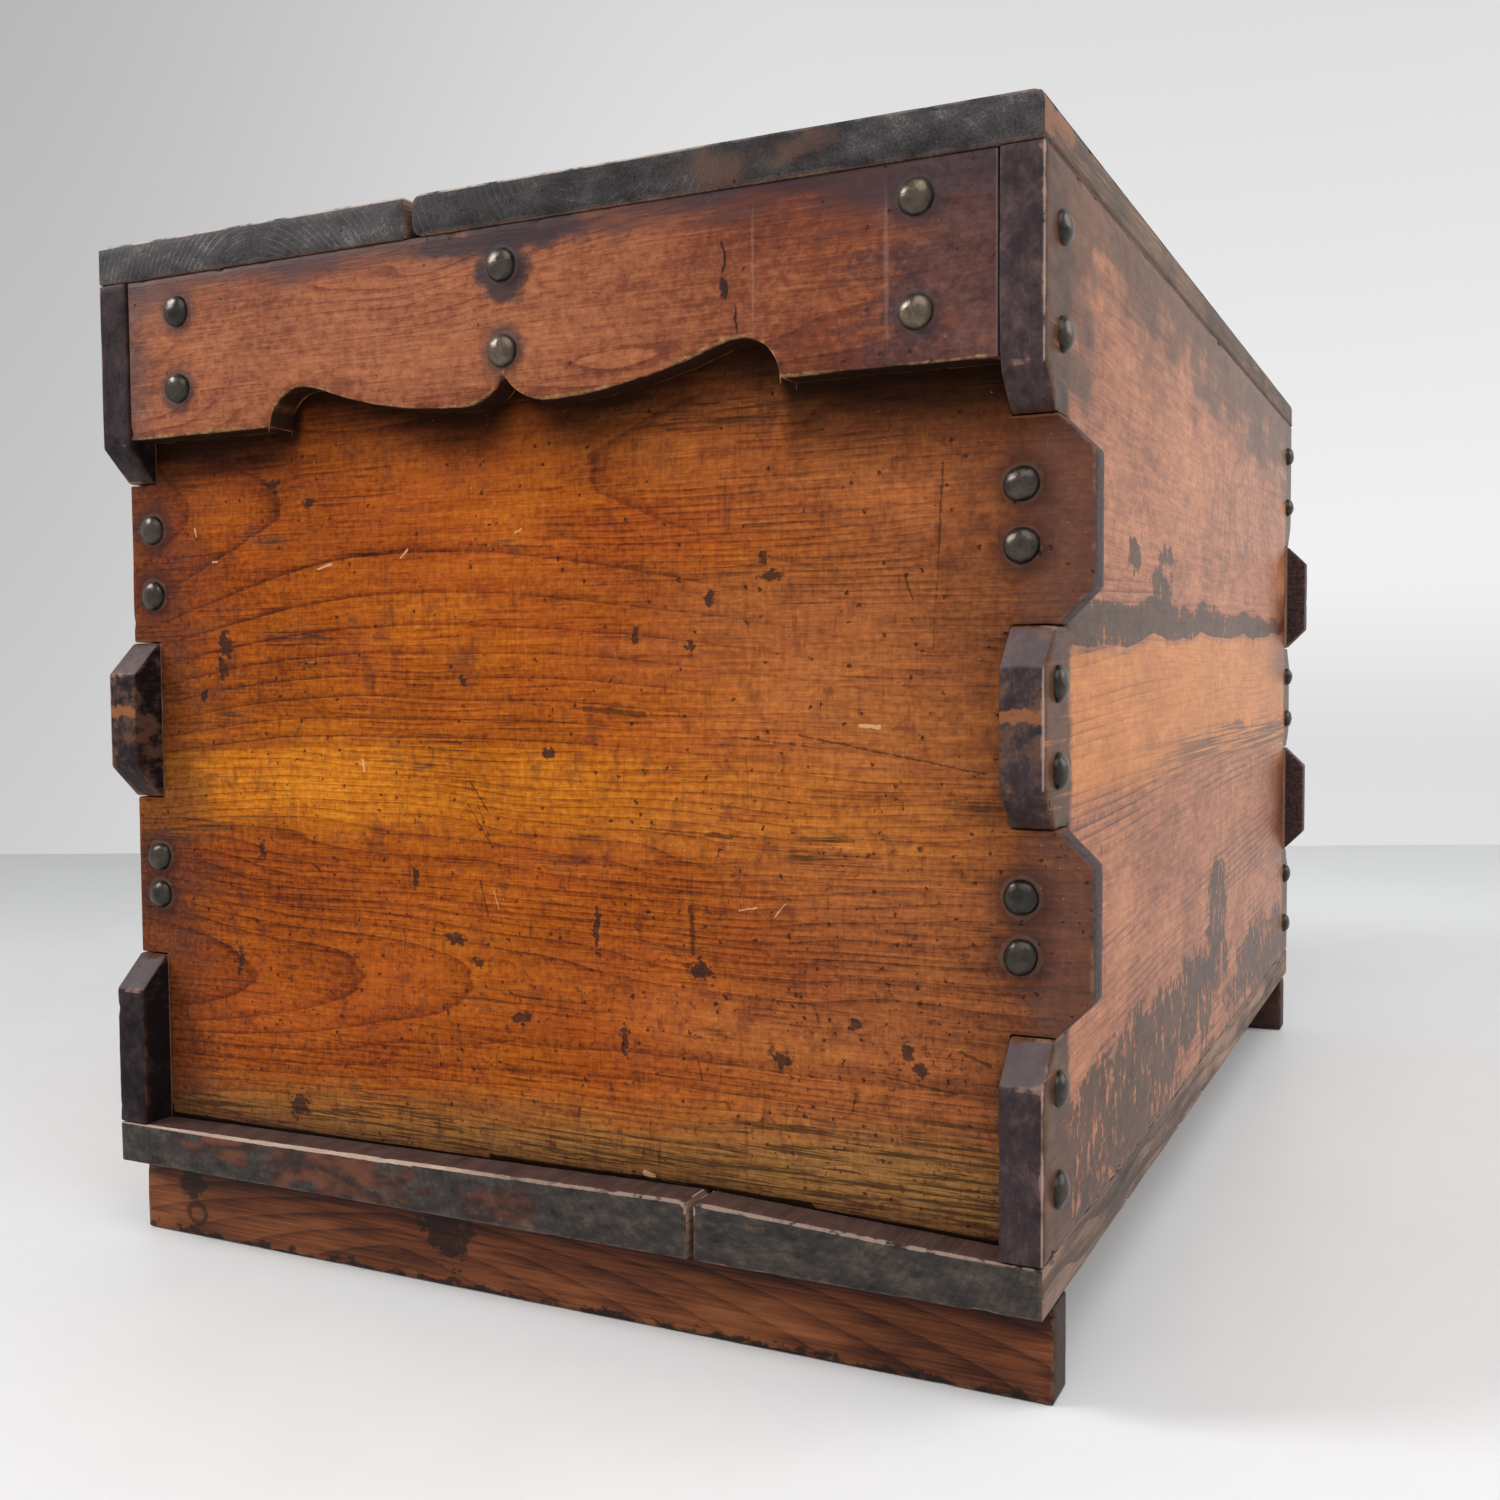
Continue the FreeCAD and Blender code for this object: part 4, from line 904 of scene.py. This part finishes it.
LEFT_SCRATCHES = [
    (44, 286, 32, 269, 0.4), (47, 275, 28, 248, 0.2), (39, 273, 25, 240, 0.1), (38, 231, 33, 212, 0.5),
    (-228, 442, -226, 400, 0.3), (-226, 400, -223, 354, 0), (-92, 224, -94, 200, 1),
    (-121, 236, -121, 224, 0.1), (-161, 180, -164, 170, 0.1), (-209, 390, -213, 378, 0.2),
    (-63, 264, -130, 261, 0.2), (-102, 262, -116, 261, 1), (-118, 312, -162, 307, 0.1),
    (5, 328, -85, 322, 0), (-30, 325.5, -66, 323, 1.3), (-154, 313, -249, 296, 0.3),
    (-200, 147, -235, 143, 0.4), (46, 415, -53, 409, 0), (-96, 145, -98, 135, 0.3),
    (-183, 137, -181, 127, 0.3), (-236, 163, -251, 158, 0.7)]
LEFT_CHIPS = [
    (-186, 318, -196, 317.5, 0.7), (89, 409, 84, 414, 0.3), (12, 420, 8, 422, 0.2),
    (148, 405, 138, 408, 0.4), (241.5, 433, 240.5, 428, 0.2), (118, 296, 117, 290, 0.5),
    (-64, 82, -69, 80.5, 1.4), (-75, 79.5, -88, 79, 0.4), (-120, 224, -130, 226, 0.2),
    (29, 226, 26, 216, 0), (-140, 222, -146, 229, 0.1), (228, 412, 224, 412.5, 0.3)]
fit(end_panel("left_end_panel"), "chest", "end_panel_wood",
    panel_finish("left_panel", -1, 0.0, LEFT_STAINS, LEFT_SCRATCHES, LEFT_CHIPS), "left_end_panel")
fit(end_panel("right_end_panel"), "chest", "end_panel_wood",
    panel_finish("right_panel", 1, 17.0), "right_end_panel")

# ---------------------------------------------------------------- aprons
# A board is nailed over the top of each end panel.  Its lower edge is sawn to two long waves that meet in a
# point, with a round step at each end, and is worn pale; iron has stained the wood blue round the nails.

CUT_HALF = 158 * MM
# Each bend of the edge: middle of its circle beside the apron's middle and above its straight edge, and turn.
BENDS = [(-137.2, 0.0, 90.0), (-137.2, -17.2, 20.49), (-26.0, 280.348, -20.49), (-26.0, 30.834, -59.63),
         (26.0, 30.834, -59.63), (26.0, 280.348, -20.49), (137.2, -17.2, 20.49), (137.2, 0.0, 90.0)]


def apron_board(name):
    """Sweep the shaped edge from front to rear, then raise it to the top of the board."""
    low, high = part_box(name)
    board = stock(name, low, Vector((high.x, low.y, low.z)) + Vector((0, MM, MM)))
    bpy.ops.object.mode_set(mode="EDIT")
    pick("VERT", lambda middle: middle.y > low.y + 0.5 * MM or middle.z > low.z + 0.5 * MM)
    bpy.ops.mesh.delete(type="VERT")
    pick("EDGE", lambda middle: True)
    draw_out(0, APRON_MIDDLE - CUT_HALF - low.y, 0)
    for beside, above, turn in BENDS:
        bpy.ops.mesh.spin(steps=max(5, round(abs(turn) / 6)), angle=math.radians(turn), axis=(1, 0, 0),
                          center=(low.x, APRON_MIDDLE + beside * MM, low.z + above * MM))
    draw_out(0, high.y - APRON_MIDDLE - CUT_HALF, 0)
    bpy.ops.mesh.select_all(action="SELECT")
    bpy.ops.mesh.remove_doubles(threshold=1e-5)
    draw_out(0, 0, high.z - low.z)
    bpy.ops.transform.resize(value=(1, 1, 0), center_override=(0, 0, high.z))
    bpy.ops.mesh.select_all(action="SELECT")
    bpy.ops.mesh.normals_make_consistent(inside=False)
    bpy.ops.object.mode_set(mode="OBJECT")
    age(board, arris=1.0, rub=0.4, chip=1.3, grid=4)
    return board


def apron_wood(apron):
    """Red-brown wood, darker towards the front, and its late wood."""
    y, z, sway = apron.y, apron.z, apron.sway
    depth = 0.035 + (TIP - apron.side * apron.x) * 0.9
    figure = (depth ** 2.0 + (z - 0.47 + 0.08 * sway + 0.08 * y) ** 2.0) ** 0.5
    rings = growth(figure, 6.5, 0.5 * sway + 0.1 * apron.fine, 4.0) * ease(sway, -0.25, 0.25)
    threads = cloud(apron.spot, (2, 70, 1.1), 3, 0.6, apron.seed + 21)
    tone = 0.54 + 0.4 * apron.fibre + 0.65 * apron.mottle + 0.55 * apron.broad - 0.34 * rings
    tone = tone - 0.1 * ease(threads, 0.55, 0.68) - 0.14 * ease(y, -0.05, -0.16)
    return ramp(tone, (0.1, (0.075, 0.02, 0.012)), (0.38, (0.195, 0.051, 0.022)),
                (0.58, (0.34, 0.11, 0.045)), (0.85, (0.5, 0.19, 0.08))), rings


def apron_ink(apron, wood):
    """Blue-black iron stains: along the top, round each nail and in a blot over the middle ones."""
    end, halo, ragged = apron.side * TIP, apron.halo, apron.ragged
    ink = blend(apron.grime + 0.5, (0.016, 0.012, 0.018), (0.07, 0.044, 0.048))
    wet = ease(apron.z + 0.03 * ragged - 0.12 * (apron.y + 0.1).math("MINIMUM", 0.0), 0.557, 0.582)
    wood = blend(0.85 * wet, wood, ink)
    wood = blend(0.75 * ease(halo + 8 * MM * ragged, 18 * MM, 8 * MM), wood, ink)
    blot = nearest(crumbled(apron.spot, 12, 24), [
        ((end, 0.01, 0.57), (0.03, 0.06, 9 * MM)),
        ((end, 0.008, 0.555), (0.03, 0.018, 0.018))])
    wood = blend(0.88 * ease(blot + ragged, 1.25, 0.7), wood, ink)
    return blend(0.3 * ease(halo + 6 * MM * apron.grime, 11.2 * MM, 9.6 * MM), wood, (0.15, 0.12, 0.115))


def apron_wear(apron, wood, underside_shade):
    """Dirty ends, a lower edge rubbed pale in front, and painted shade that turns the underside near black.
    """
    spot, grime, ragged = apron.spot, apron.grime, apron.ragged
    ends = ease(apron.y + 0.06 * grime, 0.24, 0.272)
    ends = ends.math("MAXIMUM", ease(apron.y + 0.1 * ragged, -0.18, -0.24))
    dirt = blend(0.5 + 1.6 * apron.mottle + grime + apron.fine, (0.034, 0.022, 0.026), (0.125, 0.076, 0.076))
    wood = blend(0.68 * ends, wood, dirt)
    worn = ease(edge_wear(spot) + ragged, 0.8, 1.05)
    worn = worn * ease(apron.z, 0.54, 0.51) * ease(apron.off, 0.262, 0.258)
    pale = blend(0.45 + 2.5 * apron.mottle + grime, (0.07, 0.032, 0.013), (0.5, 0.29, 0.13))
    wood = blend(0.8 * worn, wood, pale)
    # Painted shade: the underside, away from the worn arris, is made near black.
    sound = ease(edge_wear(spot) + 2.0 * grime, 1.0, 0.6)
    return blend(0.97 * underside_shade * sound, wood, (0.016, 0.008, 0.005))


def apron_marks(apron, wood):
    """Pits, a worm track near the front, pale flecks and two faint upright rubs."""
    spot, seed = apron.spot, apron.seed
    pits = dents(crumbled(spot, 2, 2), 12, 1.0, 0.5, seed)
    spots = ease(cloud(spot, (6, 4, 3), 3, 0.62, seed + 17), 0.7, 0.77)
    pits = pits.math("MAXIMUM", 0.8 * spots)
    worm = nearest(crumbled(spot, 5, 7), [
        ((-TIP, -0.123, 0.546), (0.02, 1.4 * MM, 8 * MM)),
        ((-TIP, -0.124, 0.53), (0.02, 2.2 * MM, 7 * MM)),
        ((-TIP, -0.129, 0.515), (0.02, 1.2 * MM, 8 * MM))])
    wood = blend((0.9 * ease(worm, 1.2, 0.7)).math("MAXIMUM", 0.7 * pits), wood, (0.02, 0.01, 0.01))
    flecks = ease(cloud(spot, (4, 3, 1.8), 2, 0.6, seed + 20), 0.25, 0.23)
    wood = blend(0.5 * flecks, wood, (0.6, 0.36, 0.23))
    rubs = nearest(crumbled(spot, 1, 9), [
        ((-TIP, -0.139, 0.535), (0.02, 0.9 * MM, 38 * MM)),
        ((-TIP, -0.207, 0.53), (0.02, 1.4 * MM, 40 * MM))])
    return blend(0.11 * ease(rubs, 1.1, 0.5), wood, (0.62, 0.42, 0.34)), pits


def apron_finish(name, side, seed):
    """Lacquered red-brown plank, stained by its nails; side is -1 at the left end and 1 at the right."""
    finish, spot = new_finish(f"{name}_wood")
    apron = layers(spot, seed, sway=((500, 250, 50), 2, 0.5, 0), fine=((500, 80, 10), 3, 0.6, 5),
                   fibre=((2, 22, 1.4), 2, 0.6, 0), mottle=((5, 5, 4), 3, 0.68, 0),
                   broad=((200, 100, 40), 5, 0.62, 1), grime=((30, 45, 20), 5, 0.65, 3))
    apron.side = side
    apron.halo = nail_halo(spot, f"{name}_nails", side)
    apron.off = (apron.y - APRON_MIDDLE).math("ABSOLUTE")
    apron.ragged = 1.2 * apron.grime + apron.fine + 0.6 * apron.mottle
    # Painted shade on the faces that turn downward.
    underside_shade = ease(toward(spot, 2), -0.35, -0.7)
    wood, rings = apron_wood(apron)
    wood = apron_ink(apron, wood)
    wood = apron_wear(apron, wood, underside_shade)
    wood, pits = apron_marks(apron, wood)
    end = ease(facing(spot, 1), 0.7, 0.9) * (1 - underside_shade)
    wood = blend(0.95 * end, wood, (0.022, 0.012, 0.01))
    # Painted highlight: a thin pale line along the arris at each end of the apron.
    seam = ease(edge_wear(spot), 0.7, 0.95) * ease(apron.off, 0.2645, 0.2655)
    wood = blend(0.5 * seam, wood, (0.26, 0.18, 0.18))
    relief = 0.0002 * apron.fibre - 0.00012 * rings - 0.0008 * pits + 0.0006 * apron.broad
    surface(wood, 0.46 + 0.3 * apron.grime, relief, 0.13)
    return finish


for name, side, seed in (("left_apron", -1, 2.0), ("right_apron", 1, 23.0)):
    fit(apron_board(name), "chest", "apron_wood", apron_finish(name, side, seed), name)

# ---------------------------------------------------------------- top planks and lid
# The top is two thick planks: a narrow one nailed down behind, and a wide one that lies loose as the lid.
# Hands have rounded the lid's arrises; its end grain is weathered blue-grey with fine pale rings.

TOP = 600 * MM


def top_finish(name, heart, ring, seed, pale):
    """Plank with its grain along the chest; heart is Y and Z of the log's middle in its ends."""
    finish, spot = new_finish(name)
    x, y, z = axes(spot)
    sway = cloud(spot, (400, 200, 100), 2, 0.5, seed) - 0.5
    fine = cloud(spot, (150, 30, 20), 3, 0.6, seed + 5) - 0.5
    fibre = cloud(spot, (45, 1.3, 1.3), 3, 0.65, seed) - 0.5
    figure = ((y - heart[0] + 0.03 * sway) ** 2.0 + (z - heart[1] + 0.01 * sway) ** 2.0) ** 0.5
    patches = cloud(spot, (100, 50, 40), 5, 0.62, seed + 1) - 0.5
    grime = cloud(spot, (30, 20, 12), 5, 0.68, seed + 3) - 0.5
    clear = ease(fine, -0.12, 0.1) * ease(y + 0.1 * patches, -0.17, -0.1)
    rings = growth(figure, ring, 0.3 * fine, 9.0) * clear
    tone = 0.5 + 0.8 * fibre - 0.2 * rings + 0.6 * patches + 0.5 * grime
    wood = ramp(tone, (0.15, (0.036, 0.026, 0.022)), (0.45, (0.11, 0.072, 0.054)),
                (0.68, (0.26, 0.15, 0.1)), (0.9, (0.45, 0.24, 0.15)))
    end = ease(facing(spot, 0), 0.5, 0.85)
    end_tone = pale + 0.8 * grime + 0.35 * patches + 0.36 * rings + 0.5 * fibre + 0.18 * ease(y, -0.15, -0.24)
    end_wood = ramp(end_tone, (0.15, (0.007, 0.006, 0.007)), (0.42, (0.024, 0.02, 0.02)),
                    (0.65, (0.07, 0.063, 0.064)), (0.9, (0.28, 0.24, 0.22)))
    wood = blend(end, wood, end_wood)
    brown = nearest(crumbled(spot, 12, 20), [
        ((-TIP, -0.115, 0.585), (0.03, 0.02, 0.01)),
        ((-TIP, -0.16, 0.59), (0.03, 0.02, 0.006))])
    wood = blend(0.6 * end * ease(brown + 3.0 * grime, 1.3, 0.3), wood, (0.14, 0.07, 0.048))
    corner = nearest(crumbled(spot, 14, 20), [((-TIP, -0.282, 0.589), (0.045, 0.03, 0.009))])
    wood = blend(0.6 * (1 - end) * ease(corner + 4.0 * grime, 1.1, 0.6), wood, (0.36, 0.15, 0.07))
    holes = dents(crumbled(spot, 2, 2), 10, 1.2, 0.4, seed)
    wood = blend(0.8 * holes, wood, (0.012, 0.008, 0.007))
    rubbed = ease(edge_wear(spot) + 0.8 * grime, 0.88, 1.02)
    # Painted highlight: a near-white line on the rubbed top arrises, strongest towards the rear and at the
    # left end.
    lit = ease(z, TOP - 2.1 * MM, TOP - 1.2 * MM)
    lit = lit * ease(y + 0.1 * patches, -0.12, -0.06).math("MULTIPLY_ADD", 0.85, 0.15)
    left_end = ease(x, -0.4, -0.45).math("MULTIPLY_ADD", 0.7, 0.3)
    wood = blend(0.8 * rubbed * lit * left_end, wood, (0.66, 0.58, 0.52))
    wood = blend(0.15 * rubbed, wood, (0.26, 0.15, 0.1))
    relief = 0.0003 * fibre - 0.0004 * rings - 0.0009 * holes + 0.0006 * patches
    surface(wood, 0.55 + 0.3 * grime, relief, 0.15)
    return finish


rear_top = stock("rear_top_plank", *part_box("rear_top_plank"))
age(rear_top, arris=1.6, rub=0.4, chip=0.6, grid=5)
sink_nails("rear_top_plank_nails", 1)
fit(rear_top, "chest", "top_wood",
    top_finish("rear_top_wood", heart=(0.175, 0.545), ring=3.6, seed=40.0, pale=0.57), "rear_top_plank")

SEAM_ROUND = 6.5 * MM
FRONT_ROUND = 6.0 * MM
FRONT_UNDER_ROUND = 2.5 * MM

low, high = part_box("lid_plank")
lid = stock("lid_plank", low, high)
bpy.ops.object.mode_set(mode="EDIT")
for edge_y, edge_z, radius in ((high.y, high.z, SEAM_ROUND), (high.y, low.z, SEAM_ROUND),
                               (low.y, high.z, FRONT_ROUND), (low.y, low.z, FRONT_UNDER_ROUND)):
    pick("EDGE", lambda middle: near(middle.y, edge_y) and near(middle.z, edge_z))
    bpy.ops.mesh.bevel(offset=radius, segments=4, affect="EDGES")
bpy.ops.object.mode_set(mode="OBJECT")
age(lid, arris=1.6, rub=0.4, chip=0.6, grid=5)
fit(lid, "lid", "top_wood",
    top_finish("lid_wood", heart=(-0.043, 0.618), ring=4.4, seed=6.0, pale=0.43), "lid_plank")

# ---------------------------------------------------------------- lid battens
# Two planed softwood battens are nailed under the lid, just inside the ends, and keep it in its place.

batten_finish, spot = new_finish("batten_wood")
x, y, z = axes(spot)
fibre = cloud(spot, (1.2, 60, 1.2), 4, 0.65)
rings = growth(x + 0.01 * cloud(spot, (100, 300, 100)), 4)
patches = cloud(spot, (40, 90, 40), 4)
tone = 0.5 + 0.35 * (fibre - 0.5) - 0.25 * rings + 0.6 * (patches - 0.5)
wood = ramp(tone, (0.15, (0.16, 0.085, 0.045)), (0.5, (0.38, 0.23, 0.13)), (0.85, (0.55, 0.38, 0.24)))
wood = blend(0.6 * ease(facing(spot, 1), 0.7, 0.9), wood, (0.2, 0.12, 0.07))
surface(wood, 0.55 + 0.2 * patches, 0.0003 * fibre - 0.0002 * rings, 0.3)

BATTEN_CHAMFER = 4 * MM

for name in ("left_lid_batten", "right_lid_batten"):
    low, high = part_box(name)
    batten = stock(name, low, high)
    bpy.ops.object.mode_set(mode="EDIT")
    pick("EDGE", lambda middle: near(middle.z, low.z) and (near(middle.x, low.x) or near(middle.x, high.x)))
    bpy.ops.mesh.bevel(offset=BATTEN_CHAMFER, segments=1, affect="EDGES")
    bpy.ops.object.mode_set(mode="OBJECT")
    age(batten, arris=0.8, rub=0.5, chip=0.8, grid=6)
    sink_nails("lid_batten_nails", -1)
    fit(batten, "lid", "batten_wood", batten_finish, name)

# ---------------------------------------------------------------- domed nails
# Hand-forged iron nails with domed heads hold the corners and the aprons.  Their hammered heads have turned
# dark green-brown, with a bright rub on top and rust at the rim; the pale crown is partly a painted
# highlight.


def iron_finish(name, axis):
    """Scaled iron, paler on the crown of the heads, which stand out along the axis, with a painted highlight.
    """
    finish, spot = new_finish(name)
    x, y, z = axes(spot)
    patina = cloud(spot, (9,) * 3, 4, 0.6) - 0.5
    scale = cloud(spot, (1.5,) * 3, 3, 0.6) - 0.5
    each = cloud(spot, (60,) * 3, 1) - 0.5
    # crown: paler where the head faces outward, a rub together with a painted highlight.
    crown = ease(facing(spot, axis) + 0.3 * patina, 0.3, 1.05)
    brassy = 0.12 * ease(z, 0.48, 0.495) * ease(y, 0.2, 0.05) * ease(x.math("ABSOLUTE"), 0.44, 0.445)
    tone = 0.31 + 0.16 * crown + brassy + 0.4 * patina + 0.2 * scale + 0.3 * each
    iron = ramp(tone, (0.2, (0.01, 0.009, 0.008)), (0.4, (0.036, 0.029, 0.024)),
                (0.6, (0.1, 0.074, 0.052)), (0.85, (0.32, 0.23, 0.145)))
    surface(iron, 0.3 + 0.3 * patina, 0.00012 * scale + 0.0004 * patina, 0.5, 0.6)
    return finish


IRON = [iron_finish(f"nail_iron_{name}", axis) for axis, name in enumerate("xyz")]
HEAD_RADIUS = 8.75 * MM
DOME = 6 * MM
RIM = 1.5 * MM

bpy.ops.mesh.primitive_uv_sphere_add(segments=20, ring_count=12, radius=HEAD_RADIUS)
head = bpy.context.object
bpy.ops.object.mode_set(mode="EDIT")
bpy.ops.mesh.select_all(action="SELECT")
bpy.ops.mesh.bisect(plane_co=(0, 0, 0), plane_no=(0, 0, 1), clear_inner=True)
bpy.ops.mesh.select_all(action="SELECT")
bpy.ops.transform.resize(value=(1, 1, DOME / HEAD_RADIUS), center_override=(0, 0, 0))
pick("EDGE", lambda middle: near(middle.z, 0))
draw_out(0, 0, -RIM)
bpy.ops.object.mode_set(mode="OBJECT")

HAMMERED = lumps("hammered", 7 * MM, 1.0, 1.0)
random.seed(5)


def joined(name, pieces):
    """Some pieces made one, in their place."""
    bpy.ops.object.select_all(action="DESELECT")
    for piece in pieces:
        piece.select_set(True)
    bpy.context.view_layer.objects.active = pieces[0]
    bpy.ops.object.join()
    bpy.ops.object.transform_apply(location=True, rotation=True, scale=True)
    bpy.context.object.name = name
    return bpy.context.object


def domed_nails(node, outward, axis):
    """A head on each seat of a node, each a little different in size and turn, then hammered."""
    way = Vector([outward if axis == side else 0.0 for side in range(3)])
    copies = []
    for seat in nail_seats(node, outward, axis):
        copy = head.copy()
        copy.data = head.data.copy()
        bpy.context.scene.collection.objects.link(copy)
        copy.location = seat - way * DOME
        turn = Matrix.Rotation(random.uniform(0, math.tau), 3, "Z")
        copy.rotation_euler = (way.to_track_quat("Z", "Y").to_matrix() @ turn).to_euler()
        copy.scale = [random.uniform(0.93, 1.03) for _ in range(2)] + [random.uniform(0.8, 0.9)]
        copies.append(copy)
    group = joined(node, copies)
    dent = group.modifiers.new("hammered", "DISPLACE")
    dent.texture = HAMMERED
    dent.mid_level = 0.5
    dent.strength = -1.2 * MM
    bpy.ops.object.modifier_apply(modifier=dent.name)
    bpy.ops.object.shade_smooth()
    fit(group, "chest", "nail_iron", IRON[axis], node)


for node, outward, axis in (("front_board_nails", -1, 1), ("rear_board_nails", 1, 1),
                            ("left_panel_nails", -1, 0), ("right_panel_nails", 1, 0),
                            ("left_apron_nails", -1, 0), ("right_apron_nails", 1, 0)):
    domed_nails(node, outward, axis)
bpy.data.objects.remove(head)

# ---------------------------------------------------------------- flat nails
# Cut nails with flat square heads are driven flush: down through the rear top plank, up through the bottom
# planks and the feet, and up through the battens into the lid.

HALF_HEAD = 4.2 * MM
HEAD_TOP = 0.1 * MM
HEAD_FOOT = 1.4 * MM


def flat_nails(node, body, outward):
    """A square head with soft corners on each seat of a node, a hair below the surface."""
    low = Vector((-HALF_HEAD, -HALF_HEAD, -HEAD_FOOT))
    high = Vector((HALF_HEAD, HALF_HEAD, -HEAD_TOP))
    heads = []
    for seat in nail_seats(node, outward, 2):
        square = stock(node, seat + low, seat + high) if outward > 0 else stock(node, seat - high, seat - low)
        heads.append(square)
    group = joined(node, heads)
    age(group, arris=0.5, rub=0.3, chip=0.4, grid=2)
    fit(group, body, "nail_iron", IRON[2], node)


for node, body, outward in (("rear_top_plank_nails", "chest", 1), ("bottom_plank_nails", "chest", -1),
                            ("left_foot_nails", "chest", -1), ("right_foot_nails", "chest", -1),
                            ("lid_batten_nails", "lid", -1)):
    flat_nails(node, body, outward)
